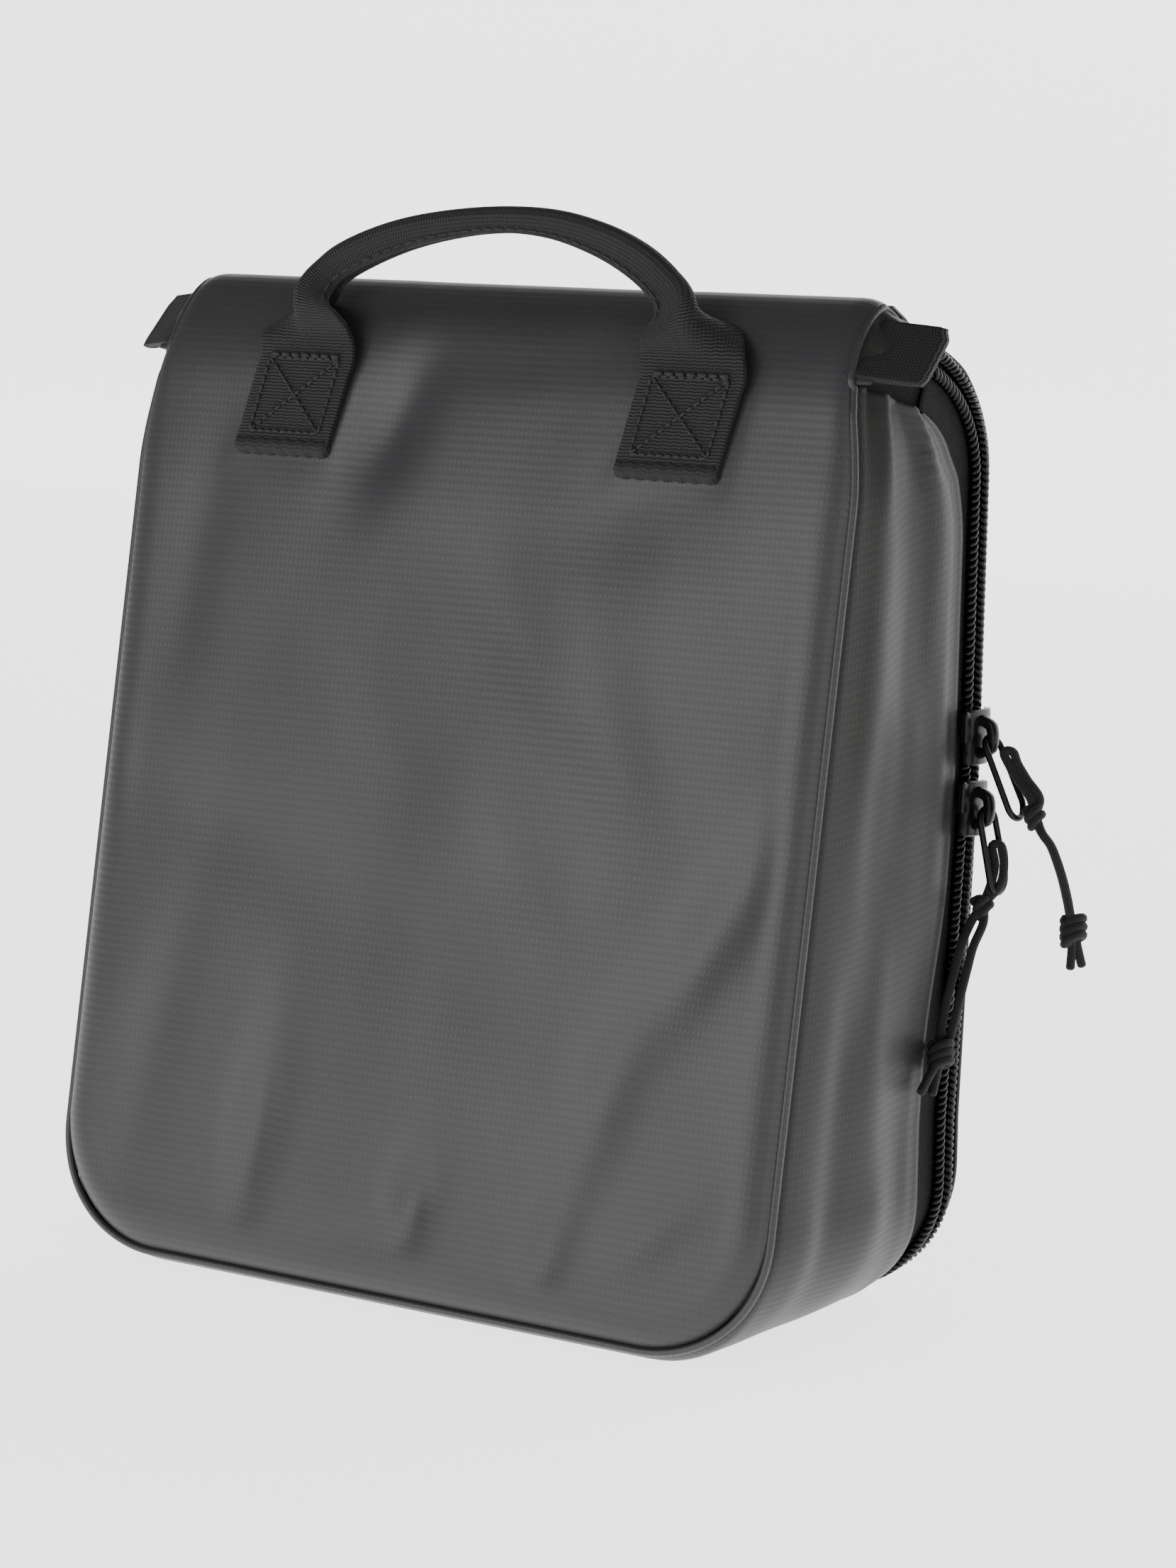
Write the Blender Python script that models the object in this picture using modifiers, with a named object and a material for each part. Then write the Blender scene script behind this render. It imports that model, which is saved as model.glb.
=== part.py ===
"""Clamshell wash bag that stands on its own base.

Metres, +Z up, the front faces -Y, and the origin is the middle of the flat base. The bag is a wedge: the
front panel leans back, and the cover at the back is hinged along the top, with a zip round its other three sides.
"""
import math

import bmesh
import bpy
from mathutils import Matrix, Vector

# Driving dimensions
WIDTH = 0.220
CORNER = 0.034                # radius of the two lower corners, seen from the front
FRONT_FOOT = -0.0445          # y of the front panel's lower edge
FRONT_LEAN = 0.176            # how far the front panel goes back for each metre up
FRONT_LIFT = 0.004            # the front seam's height over the flat base
CROWN_START = 0.228           # height where the front panel begins to roll over the top
CREST = (0.0155, 0.2555)      # (y, z) of the top of the roll
HINGE = (0.0240, 0.2523)      # (y, z) of the line that the cover opens about
FRONT_ROLL = 0.008            # how far back from the seam the base becomes flat
ZIP_LIFT = 0.0035             # the zip's height over the flat base, along the bottom
ZIP_ROLL = 0.014              # how far in front of the zip the base stops being flat
ZIP_LOW = (0.0445, 0.050)     # (y, z) where the zip's lower straight run begins
ZIP_BEND = (0.0525, 0.137)    # where its lower and upper straight runs meet
ZIP_HIGH = (0.0535, 0.212)    # where it begins to curl forward under the tab
ZIP_END = (0.0300, 0.2405)
SEAM_TOP = 0.2360             # where the gusset's front seam ends, under the tab
COVER_EDGE_HIGH = 0.0062      # how far the back panel stands behind the zip, high up
COVER_EDGE_LOW = 0.0085       # and near the bottom
BACK_BULGE = 0.006
FRONT_BULGE = 0.002

GAP = 0.0003                  # air between two pieces that touch
CLOTH = 0.0008                # coated outer fabric
FOAM = 0.0025
LINING = 0.0005
TAPE = 0.0006
FOAM_DEPTH = CLOTH + GAP
LINING_DEPTH = FOAM_DEPTH + FOAM + GAP
POCKET_DEPTH = LINING_DEPTH + LINING + GAP
COVER_INSET = 0.0046          # keeps the cover's filling clear of the sliders' inner plates
COIL_NEAR = 0.0007            # from the zip's centre line to each coil
COIL_WIDTH = 0.0037
COIL_HEIGHT = 0.0026
TAPE_DEPTH = CLOTH + GAP
TAPE_REACH = 0.020
GUSSET_LINING_DEPTH = TAPE_DEPTH + TAPE + GAP

STRAIGHT_ROWS = 9             # rows of points up the straight part of a panel
GUSSET_EDGE = 0.0110          # from the zip's centre line to the gusset's cloth
GUSSET_TOP_ROW = 0.200        # height below which the gusset's rows lie level

POCKET_FOOT = 0.030
POCKET_MOUTH = 0.1600
POCKET_ZIP_Z = 0.1730
POCKET_COIL = 0.0012
SLIP_POCKET_FOOT = 0.020
SLIP_POCKET_MOUTH = 0.118
ELASTIC_TOP = 0.130

SLIDER_LENGTH = 0.0140
SLIDER_PLATE = 0.0012
SLIDER_HALF_WIDTH = 0.0058
BRIDGE_RISE = 0.0058
BRIDGE_WIDTH = 0.0030
BRIDGE_LENGTH = 0.0116
BRIDGE_METAL = 0.0014
RING_WIRE = 0.0015
RING_WIDTH = 0.0080
RING_LENGTH = 0.0215
CORD_WIDTH = 0.0024
LEG_SPACING = 0.0032

WEBBING = 0.0016
PATCH_WIDTH = 0.0300
PATCH_THICK = 0.0028
HANDLE_AXIS = (-0.0066, 0.2384)
TAB_WIDTH = 0.0185
TAB_REACH = 0.0130

COLORS = {
    "shell_fabric": ((0.115, 0.115, 0.125), 0.45, 0.0),
    "gusset_fabric": ((0.085, 0.083, 0.082), 0.50, 0.0),
    "foam": ((0.25, 0.25, 0.26), 0.95, 0.0),
    "lining": ((0.30, 0.31, 0.33), 0.80, 0.0),
    "mesh": ((0.10, 0.10, 0.11), 0.90, 0.0),
    "binding": ((0.030, 0.030, 0.032), 0.85, 0.0),
    "zip_tape": ((0.012, 0.012, 0.012), 0.90, 0.0),
    "zip_coil": ((0.010, 0.010, 0.011), 0.30, 0.0),
    "webbing": ((0.030, 0.030, 0.031), 0.75, 0.0),
    "thread": ((0.022, 0.022, 0.023), 0.60, 0.0),
    "slider_metal": ((0.012, 0.012, 0.013), 0.22, 0.6),
    "ring_metal": ((0.014, 0.014, 0.015), 0.20, 0.8),
    "cord": ((0.014, 0.014, 0.015), 0.80, 0.0),
}


# Scene

def clear_scene():
    for obj in list(bpy.data.objects):
        bpy.data.objects.remove(obj, do_unlink=True)


def new_collection(name):
    collection = bpy.data.collections.new(name)
    bpy.context.scene.collection.children.link(collection)
    return collection


clear_scene()
PARTS = new_collection("wash_bag")
CUTTERS = new_collection("cutters")


def paint(obj, slot):
    color, roughness, metallic = COLORS[slot]
    material = bpy.data.materials.new(obj.name)
    material.use_nodes = True
    shader = material.node_tree.nodes["Principled BSDF"]
    shader.inputs["Base Color"].default_value = (*color, 1.0)
    shader.inputs["Roughness"].default_value = roughness
    shader.inputs["Metallic"].default_value = metallic
    obj.data.materials.clear()
    obj.data.materials.append(material)


def place(name, data, slot, pivot=(0.0, 0.0, 0.0)):
    """Make an object with its origin at the pivot; its mesh is given in world coordinates."""
    obj = bpy.data.objects.new(name, data)
    data.transform(Matrix.Translation(-Vector(pivot)))
    obj.location = pivot
    PARTS.objects.link(obj)
    paint(obj, slot)
    return obj


# Building blocks

def grid_mesh(name, rows):
    """An open surface through rows of points."""
    columns = len(rows[0])
    points = [point for row in rows for point in row]
    faces = []
    for i in range(len(rows) - 1):
        for j in range(columns - 1):
            corner = i * columns + j
            faces.append((corner, corner + 1, corner + columns + 1, corner + columns))
    mesh = bpy.data.meshes.new(name)
    mesh.from_pydata(points, [], faces)
    return mesh


def layer(name, rows, thickness, slot, pivot=(0.0, 0.0, 0.0)):
    """A sheet whose outer face is the given surface, thickened towards the inside."""
    obj = place(name, grid_mesh(name, rows), slot, pivot)
    solidify = obj.modifiers.new("thickness", "SOLIDIFY")
    solidify.thickness = thickness
    solidify.offset = -1.0
    solidify.use_even_offset = True
    return obj


def tube_mesh(name, points, radius, cyclic=False, resolution=2):
    """A round wire or cord along the points, with closed ends."""
    curve = bpy.data.curves.new(name, "CURVE")
    curve.dimensions = "3D"
    curve.bevel_depth = radius
    curve.bevel_resolution = resolution
    curve.use_fill_caps = not cyclic
    spline = curve.splines.new("POLY")
    spline.points.add(len(points) - 1)
    for target, point in zip(spline.points, points):
        target.co = (*point, 1.0)
    spline.use_cyclic_u = cyclic
    holder = bpy.data.objects.new(name, curve)
    bpy.context.scene.collection.objects.link(holder)
    graph = bpy.context.evaluated_depsgraph_get()
    mesh = bpy.data.meshes.new_from_object(holder.evaluated_get(graph))
    bpy.data.objects.remove(holder, do_unlink=True)
    work = bmesh.new()
    work.from_mesh(mesh)
    bmesh.ops.remove_doubles(work, verts=work.verts, dist=1e-6)
    bmesh.ops.recalc_face_normals(work, faces=work.faces)
    work.to_mesh(mesh)
    work.free()
    return mesh


def prism_mesh(name, outline, depth):
    """A closed solid: the flat outline, a list of points, pulled along the depth vector."""
    work = bmesh.new()
    face = work.faces.new([work.verts.new(point) for point in outline])
    pulled = bmesh.ops.extrude_face_region(work, geom=[face])
    moved = [item for item in pulled["geom"] if isinstance(item, bmesh.types.BMVert)]
    bmesh.ops.translate(work, verts=moved, vec=depth)
    bmesh.ops.recalc_face_normals(work, faces=work.faces)
    mesh = bpy.data.meshes.new(name)
    work.to_mesh(mesh)
    work.free()
    return mesh


def ball_mesh(name, center, radii):
    """An ellipsoid."""
    work = bmesh.new()
    bmesh.ops.create_uvsphere(work, u_segments=16, v_segments=10, radius=1.0)
    matrix = Matrix.Translation(center) @ Matrix.Diagonal((*radii, 1.0))
    bmesh.ops.transform(work, matrix=matrix, verts=work.verts)
    mesh = bpy.data.meshes.new(name)
    work.to_mesh(mesh)
    work.free()
    return mesh


def join_to(obj, mesh):
    """Add a second mesh, given in world coordinates, with a Boolean modifier."""
    tool = bpy.data.objects.new(obj.name + "_tool_" + str(len(obj.modifiers)), mesh)
    tool.hide_render = True
    tool.display_type = "WIRE"
    CUTTERS.objects.link(tool)
    modifier = obj.modifiers.new("join", "BOOLEAN")
    modifier.object = tool
    modifier.operation = "UNION"
    modifier.solver = "EXACT"


def smooth_route(points, step):
    """Points every step metres along a Catmull-Rom curve through the route's own points."""
    route = [Vector(point) for point in points]
    route = [2 * route[0] - route[1]] + route + [2 * route[-1] - route[-2]]
    fine = []
    for k in range(1, len(route) - 2):
        before, a, b, after = route[k - 1:k + 3]
        for n in range(16):
            t = n / 16
            fine.append(0.5 * (2 * a + (b - before) * t + (2 * before - 5 * a + 4 * b - after) * t * t
                               + (3 * a - before - 3 * b + after) * t ** 3))
    fine.append(route[-2])
    length = sum((b - a).length for a, b in zip(fine, fine[1:]))
    count = max(2, round(length / step))
    result = [fine[0]]
    walked = 0.0
    for a, b in zip(fine, fine[1:]):
        walked += (b - a).length
        if walked >= length * len(result) / count - 1e-9:
            result.append(b)
    result[-1] = fine[-1]
    return result


def bezier(a, b, c, d, count):
    """Points on a cubic curve, the first left out."""
    points = []
    for n in range(1, count + 1):
        t = n / count
        weights = ((1 - t) ** 3, 3 * t * (1 - t) ** 2, 3 * t * t * (1 - t), t ** 3)
        points.append(tuple(sum(w * p[k] for w, p in zip(weights, (a, b, c, d))) for k in range(2)))
    return points


# The bag's shape: everything below is a function of the height, or of the place along the zip

def front_y(z):
    return FRONT_FOOT + FRONT_LEAN * (z - FRONT_LIFT)


def seam_y(z):
    """The front seam on the bag's side, which follows the panel's roll near the top."""
    for (y_low, low), (y_high, high) in zip(CROWN, CROWN[1:]):
        if low <= z <= high:
            return y_low + (y_high - y_low) * (z - low) / (high - low) + GAP
    return front_y(z)


def zip_y(z):
    if z <= ZIP_LOW[1]:
        return ZIP_LOW[0]
    low, high = (ZIP_LOW, ZIP_BEND) if z <= ZIP_BEND[1] else (ZIP_BEND, ZIP_HIGH)
    return low[0] + (high[0] - low[0]) * (z - low[1]) / (high[1] - low[1])


def back_y(z):
    low_share = min(1.0, max(0.0, (ZIP_BEND[1] - z) / (ZIP_BEND[1] - ZIP_LOW[1])))
    return zip_y(z) + COVER_EDGE_HIGH + (COVER_EDGE_LOW - COVER_EDGE_HIGH) * low_share


def corner_angles(steps=6):
    return [math.pi / 2 * n / steps for n in range(steps + 1)]


CROWN = bezier((front_y(CROWN_START), CROWN_START), (front_y(0.243), 0.243),
               (0.0075, CREST[1]), CREST, 6) + bezier(
                   CREST, (0.0185, CREST[1]), (0.0215, 0.2537), HINGE, 3)
COVER_CURVE = ((0.0340, 0.2475), (0.0602, 0.2345))
COVER_TOP = bezier(HINGE, *COVER_CURVE, (back_y(ZIP_HIGH[1]), ZIP_HIGH[1]), 8)


def offset_profile(profile, depth):
    """Move a line of (y, z) points sideways: positive depth is to the right of its direction."""
    moved = []
    for i, (y, z) in enumerate(profile):
        ahead = profile[min(i + 1, len(profile) - 1)]
        behind = profile[max(i - 1, 0)]
        dy, dz = ahead[0] - behind[0], ahead[1] - behind[1]
        size = math.hypot(dy, dz)
        moved.append((y + dz / size * depth, z - dy / size * depth))
    return moved


def panel_rows(side, inset, depth, top_inset=0.0, flat=False, columns=12):
    """Rows of points across the front panel (side -1) or the cover (side 1), from the bottom up.

    inset narrows the outline at the sides and the bottom, depth moves the layer into the bag, and a flat
    layer, such as a pocket, leaves out the panel's swell.
    """
    lift = FRONT_LIFT if side < 0 else ZIP_LIFT
    y_at = front_y if side < 0 else back_y
    radius = CORNER - inset
    level = []
    for angle in corner_angles():
        z = lift + CORNER - radius * math.cos(angle)
        level.append((y_at(z), z, WIDTH / 2 - CORNER + radius * math.sin(angle)))
    half = WIDTH / 2 - inset
    straight_end = CROWN_START if side < 0 else ZIP_HIGH[1]
    straight_start = lift + CORNER
    for n in range(1, STRAIGHT_ROWS + 1):
        z = straight_start + (straight_end - straight_start) * n / STRAIGHT_ROWS
        level.append((y_at(z), z, half))
    top = CROWN if side < 0 else list(reversed(COVER_TOP))[1:] + [HINGE]
    level += [(y, z, half) for y, z in top]
    moved = offset_profile([(y, z) for y, z, _ in level], -side * depth)
    end_y = HINGE[0] + side * (GAP / 2 + top_inset)
    bulge = 0.0 if flat else FRONT_BULGE if side < 0 else BACK_BULGE
    line = []
    for (y, z), (_, height, half_width) in zip(moved, level):
        swell = bulge * max(0.0, math.sin(math.pi * height / HINGE[1]))
        line.append((y, z, half_width, swell))
        if side * (y - end_y) < 0:
            last = line[-2]
            t = (end_y - last[0]) / (y - last[0])
            line[-1] = tuple(a + (b - a) * t for a, b in zip(last, line[-1]))
            break
    rows = []
    for y, z, half_width, swell in line:
        row = []
        for n in range(columns + 1):
            across = side * (1 - 2 * n / columns)
            row.append((half_width * across, y + side * swell * (1 - across ** 2), z))
        rows.append(row)
    return rows


def cut_rows(rows, low, high):
    """The rows of a panel between two heights, with new rows exactly at them."""
    def row_at(z):
        for a, b in zip(rows, rows[1:]):
            if a[0][2] <= z <= b[0][2]:
                t = (z - a[0][2]) / (b[0][2] - a[0][2])
                return [tuple(p + (q - p) * t for p, q in zip(u, v)) for u, v in zip(a, b)]
        return rows[0]
    return [row_at(low)] + [row for row in rows if low + 0.002 < row[0][2] < high - 0.002] + [row_at(high)]


def zip_curl(count=7):
    """The zip's curl at the top, from its end at the tab to the upper straight run."""
    curl = bezier(ZIP_HIGH, (0.0530, 0.2250), (0.0440, 0.2350), ZIP_END, count)
    return list(reversed(curl))


def side_stations():
    """Places down the right side: (zip y, zip z, front y, front z), from the tab to the lower corner."""
    curl = zip_curl()
    places = []
    for n, (y, z) in enumerate(curl):
        front_z = SEAM_TOP - (SEAM_TOP - GUSSET_TOP_ROW) * n / len(curl)
        places.append((y, z, seam_y(front_z), front_z))
    places.append((*ZIP_HIGH, front_y(GUSSET_TOP_ROW), GUSSET_TOP_ROW))
    for z in (0.175, 0.150, ZIP_BEND[1], 0.115, 0.090, 0.070, ZIP_LOW[1]):
        places.append((zip_y(z), z, front_y(z), z))
    return places


def stations():
    """Places round the zip from the right tab, down, along the bottom and up to the left tab.

    Each has the base outline's point and outward direction in the XZ plane, and its zip and front points.
    """
    right = []
    for zip_y_here, zip_z, seam_y, seam_z in side_stations():
        right.append({"x": WIDTH / 2, "out": (1.0, 0.0), "zip": (zip_y_here, zip_z), "seam": (seam_y, seam_z)})
    for angle in corner_angles():
        z = CORNER * (1 - math.sin(angle))
        right.append({"x": WIDTH / 2 - CORNER * (1 - math.cos(angle)),
                      "out": (math.cos(angle), -math.sin(angle)),
                      "zip": (zip_y(z), z), "seam": (front_y(z + FRONT_LIFT * math.sin(angle)), z)})
    for x in (0.055, 0.030, 0.0):
        right.append({"x": x, "out": (0.0, -1.0), "zip": (zip_y(0.0), 0.0), "seam": (FRONT_FOOT, 0.0)})
    left = []
    for place_here in reversed(right[:-1]):
        left.append({"x": -place_here["x"], "out": (-place_here["out"][0], place_here["out"][1]),
                     "zip": place_here["zip"], "seam": place_here["seam"]})
    return right + left


STATIONS = stations()


def zip_sideways(index):
    """The direction across the zip towards the front, in the (y, z) plane on the sides."""
    here = STATIONS[index]
    if here["out"][1] < -0.01:
        return (-1.0, 0.0)
    ahead = STATIONS[min(index + 1, len(STATIONS) - 1)]["zip"]
    behind = STATIONS[max(index - 1, 0)]["zip"]
    dy, dz = ahead[0] - behind[0], ahead[1] - behind[1]
    if here["x"] < 0:
        dy, dz = -dy, -dz
    size = math.hypot(dy, dz)
    if size < 1e-9:
        return (-1.0, 0.0)
    return (dz / size, -dy / size)


def lifted(station, y, z, depth):
    """Put a point of the skin in its place: depth goes into the bag, and the base's edges are lifted."""
    down = max(0.0, -station["out"][1])
    from_front = min(1.0, max(0.0, 1 - (y - FRONT_FOOT) / FRONT_ROLL))
    from_zip = min(1.0, max(0.0, 1 - (ZIP_LOW[0] - y) / ZIP_ROLL))
    lift = down * (FRONT_LIFT * from_front + ZIP_LIFT * from_zip)
    return (station["x"] - station["out"][0] * depth, y, z - station["out"][1] * depth + lift)


def zip_point(index, across, depth):
    """A point beside the zip's centre line: across is positive towards the front."""
    station = STATIONS[index]
    side_y, side_z = zip_sideways(index)
    y = station["zip"][0] + side_y * across
    z = station["zip"][1] + side_z * across
    return lifted(station, y, z, depth)


def zip_band(name, near, far, depth, thickness, slot, pivot=(0.0, 0.0, 0.0)):
    """A strip beside the zip, all the way round."""
    rows = []
    for index in range(len(STATIONS)):
        rows.append([zip_point(index, near + (far - near) * n / 7, depth) for n in range(8)])
    return layer(name, rows, thickness, slot, pivot)


def gusset_rows(front_inset, zip_inset, depth):
    """Rows from the front seam to a line beside the zip."""
    rows = []
    for index, station in enumerate(STATIONS):
        side_y, side_z = zip_sideways(index)
        edge = Vector((station["zip"][0] + side_y * zip_inset, station["zip"][1] + side_z * zip_inset))
        seam = Vector((station["seam"][0] + front_inset, station["seam"][1]))
        row = []
        for share in (1.0, 0.97, 0.94, 0.9, 0.6, 0.35, 0.1, 0.05, 0.0):
            y, z = seam.lerp(edge, share)
            row.append(lifted(station, y, z, depth))
        rows.append(row)
    return rows


# Fabric pieces

def front_of_bag():
    layer("front_panel", panel_rows(-1, 0.0, 0.0), CLOTH, "shell_fabric")
    layer("front_padding", panel_rows(-1, 0.0030, FOAM_DEPTH, 0.001), FOAM, "foam")
    lining = panel_rows(-1, 0.0033, LINING_DEPTH, 0.0014)
    layer("front_lining", lining, LINING, "lining")
    pocket = panel_rows(-1, 0.0120, POCKET_DEPTH + 0.0006, 0.002, flat=True)
    layer("slip_pocket", cut_rows(pocket, SLIP_POCKET_FOOT, SLIP_POCKET_MOUTH), LINING, "lining")
    layer("slip_pocket_elastic", cut_rows(pocket, SLIP_POCKET_MOUTH + 0.0004, ELASTIC_TOP), 0.0012,
          "binding")


def gusset_of_bag():
    layer("gusset_outer", gusset_rows(CLOTH + GAP, GUSSET_EDGE, 0.0), CLOTH, "gusset_fabric")
    layer("gusset_lining", gusset_rows(LINING_DEPTH + LINING + 2 * GAP, 0.0130, GUSSET_LINING_DEPTH),
          LINING, "lining")
    rows = []
    for row in gusset_rows(LINING_DEPTH + LINING + 2 * GAP, 0.0130, GUSSET_LINING_DEPTH + LINING + 2 * GAP):
        seam, inner = Vector(row[-1]), Vector(row[-3])
        rows.append([seam.lerp(inner, share * 0.009 / (inner - seam).length) for share in (1.0, 0.5, 0.0)])
    layer("gusset_seam_binding", rows, 0.0010, "binding")


def corner_facings():
    """The fabric that closes each upper corner, between the gusset, the roll and the zip's end."""
    roll = offset_profile([(front_y(0.222), 0.222)] + CROWN, CLOTH + 2 * GAP)
    top = [point for point in roll if point[1] > SEAM_TOP + 0.002 and point[0] < HINGE[0] - 0.001]
    shell_side = zip_point(0, GUSSET_EDGE - GAP, 0.0)
    coil_side = zip_point(0, COIL_NEAR + COIL_WIDTH + GAP, 0.0)
    seam = (seam_y(SEAM_TOP) + CLOTH + 2 * GAP, SEAM_TOP + GAP)
    outline = [seam] + top + [(HINGE[0] - 0.0008, top[-1][1] - 0.0008), (coil_side[1] - 0.002, coil_side[2])]
    outline += [(shell_side[1], shell_side[2] + GAP)]
    for name, side in (("corner_facing_right", 1), ("corner_facing_left", -1)):
        points = [(side * WIDTH / 2, y, z) for y, z in outline]
        place(name, prism_mesh(name, points, Vector((-side * CLOTH, 0.0, 0.0))), "gusset_fabric")


def cover_of_bag():
    pivot = (0.0, *HINGE)
    layer("back_panel", panel_rows(1, 0.0, 0.0), CLOTH, "shell_fabric", pivot)
    layer("back_padding", panel_rows(1, COVER_INSET, FOAM_DEPTH, 0.001), FOAM, "foam", pivot)
    layer("back_lining", panel_rows(1, COVER_INSET, LINING_DEPTH, 0.0014), LINING, "lining", pivot)
    pocket = panel_rows(1, 0.0180, POCKET_DEPTH, 0.002, flat=True)
    layer("mesh_pocket", cut_rows(pocket, POCKET_FOOT, POCKET_MOUTH), LINING, "mesh", pivot)
    layer("pocket_zip_tape", cut_rows(pocket, POCKET_MOUTH + 0.0004, 0.1860), TAPE, "zip_tape", pivot)
    coil = panel_rows(1, 0.0240, POCKET_DEPTH + TAPE + GAP, 0.002, flat=True)
    low, high = POCKET_ZIP_Z - 0.0025, POCKET_ZIP_Z + 0.0025
    layer("pocket_zip_coil", cut_rows(coil, low, high), POCKET_COIL, "zip_coil", pivot)
    edges = []
    for inset in (COVER_INSET + 0.0005, 0.0120):
        rows = cut_rows(panel_rows(1, inset, POCKET_DEPTH, 0.002), ZIP_LIFT + inset, 0.215)
        left = [row[-1] for row in reversed(rows)]
        edges.append(left + [(-x, y, z) for x, y, z in reversed(left)])
    layer("cover_seam_binding", [list(pair) for pair in zip(*edges)], TAPE, "binding", pivot)


def cover_gap(index):
    """How far the back panel's inner face is from the zip's centre line."""
    here = Vector(STATIONS[index]["zip"])
    if here.y <= ZIP_HIGH[1]:
        return back_y(here.y) - zip_y(here.y) - CLOTH - GAP
    return min((Vector(point) - here).length for point in dense_cover_top()) - CLOTH - 2 * GAP


def dense_cover_top():
    return bezier(HINGE, *COVER_CURVE, (back_y(ZIP_HIGH[1]), ZIP_HIGH[1]), 60)


def zip_of_bag():
    pivot = (0.0, *HINGE)
    zip_band("zip_tape_shell", COIL_NEAR, TAPE_REACH, TAPE_DEPTH, TAPE, "zip_tape")
    rows = []
    for index in range(len(STATIONS)):
        far = -cover_gap(index)
        rows.append([zip_point(index, far + (-COIL_NEAR - far) * n / 7, TAPE_DEPTH) for n in range(8)])
    layer("zip_tape_cover", rows, TAPE, "zip_tape", pivot)
    coil_depth = TAPE_DEPTH - GAP - COIL_HEIGHT
    zip_band("zip_coil_shell", COIL_NEAR, COIL_NEAR + COIL_WIDTH, coil_depth, COIL_HEIGHT, "zip_coil")
    zip_band("zip_coil_cover", -COIL_NEAR - COIL_WIDTH, -COIL_NEAR, coil_depth, COIL_HEIGHT, "zip_coil", pivot)


# Webbing

def tab(name, side):
    """A folded webbing loop that sticks out sideways at an end of the zip."""
    along = Vector((side * 0.90, 0.42, -0.10)).normalized()
    across = Vector((-side * 0.42, 0.90, 0.0)).normalized()
    run = Vector((0.0, -0.72, -0.69)) * TAB_WIDTH
    outer = WEBBING + 0.0005
    root = Vector((side * (WIDTH / 2 + GAP + 2 * outer * 0.43), 0.0150, 0.2520))
    inner = 0.0005
    length = TAB_REACH - outer
    half_turn = [math.pi / 2 - math.pi * n / 8 for n in range(9)]
    profile = [(0.0, outer)] + [(length + outer * math.cos(a), outer * math.sin(a)) for a in half_turn]
    profile += [(0.0, -outer), (0.0, -inner)]
    profile += [(length + inner * math.cos(a), inner * math.sin(a)) for a in reversed(half_turn)] + [(0.0, inner)]
    outline = [root + along * a + across * (b + outer) for a, b in profile]
    place(name, prism_mesh(name, outline, run), "webbing")


PATCHES = {"left": (-0.0600, -0.0545), "right": (0.0590, 0.0640)}   # x of the middle at the bottom and the top
PATCH_FOOT, PATCH_TOP = 0.2125, HANDLE_AXIS[1] - 0.0016
PANEL_UP = Vector((0.0, math.sin(math.atan(FRONT_LEAN)), math.cos(math.atan(FRONT_LEAN))))
PANEL_OUT = Vector((0.0, -PANEL_UP.z, PANEL_UP.y))


def on_panel(x, z, out):
    """A point over the front panel, near its middle height of the handle's ends."""
    return Vector((x, front_y(z), z)) + PANEL_OUT * (out + GAP + FRONT_BULGE * 0.4)


def handle_patch(side):
    foot_x, top_x = PATCHES[side]
    name = "handle_patch_" + side
    half = PATCH_WIDTH / 2
    outline = [on_panel(x, z, 0.0) for x, z in ((foot_x - half, PATCH_FOOT), (foot_x + half, PATCH_FOOT),
                                                (top_x + half, PATCH_TOP), (top_x - half, PATCH_TOP))]
    obj = place(name, prism_mesh(name, outline, PANEL_OUT * PATCH_THICK), "webbing")
    bevel = obj.modifiers.new("soft_edges", "BEVEL")
    bevel.width = 0.0007
    bevel.segments = 2
    box_stitch(side)


def box_stitch(side):
    """The thread of the boxed cross that holds the handle's end: a square frame with its two diagonals."""
    name = "box_stitch_" + side
    foot_x, top_x = PATCHES[side]
    half_x, half_y, thread = 0.0118, 0.0095, 0.0006
    curve = bpy.data.curves.new(name, "CURVE")
    curve.dimensions = "2D"
    curve.fill_mode = "BOTH"
    curve_half = 0.0002
    curve.extrude = curve_half
    outlines = [[(-half_x, -half_y), (half_x, -half_y), (half_x, half_y), (-half_x, half_y)]]
    slope = half_y / half_x
    side_gap = thread / 2 * math.hypot(1, slope)
    side_x, side_y = half_x - thread, half_y - thread
    near_x, near_y = side_gap / slope, side_gap
    outlines.append([(near_x, 0.0), (side_x, slope * side_x - side_gap), (side_x, -slope * side_x + side_gap)])
    outlines.append([(-x, y) for x, y in outlines[1]])
    reach = (side_y - near_y) / slope
    outlines.append([(0.0, near_y), (reach, side_y), (-reach, side_y)])
    outlines.append([(x, -y) for x, y in outlines[3]])
    for outline in outlines:
        spline = curve.splines.new("POLY")
        spline.points.add(len(outline) - 1)
        for target, (x, y) in zip(spline.points, outline):
            target.co = (x, y, 0.0, 1.0)
        spline.use_cyclic_u = True
    holder = bpy.data.objects.new(name, curve)
    bpy.context.scene.collection.objects.link(holder)
    mesh = bpy.data.meshes.new_from_object(holder.evaluated_get(bpy.context.evaluated_depsgraph_get()))
    bpy.data.objects.remove(holder, do_unlink=True)
    middle = on_panel((foot_x + top_x) / 2, (PATCH_FOOT + PATCH_TOP) / 2, PATCH_THICK + GAP + curve_half)
    skew = (top_x - foot_x) / (PATCH_TOP - PATCH_FOOT)
    for vertex in mesh.vertices:
        x, y, out = vertex.co
        vertex.co = middle + Vector((x + skew * y, 0.0, 0.0)) + PANEL_UP * y + PANEL_OUT * out
    work = bmesh.new()
    work.from_mesh(mesh)
    bmesh.ops.remove_doubles(work, verts=work.verts, dist=1e-6)
    bmesh.ops.recalc_face_normals(work, faces=work.faces)
    work.to_mesh(mesh)
    work.free()
    place(name, mesh, "thread")


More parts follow.
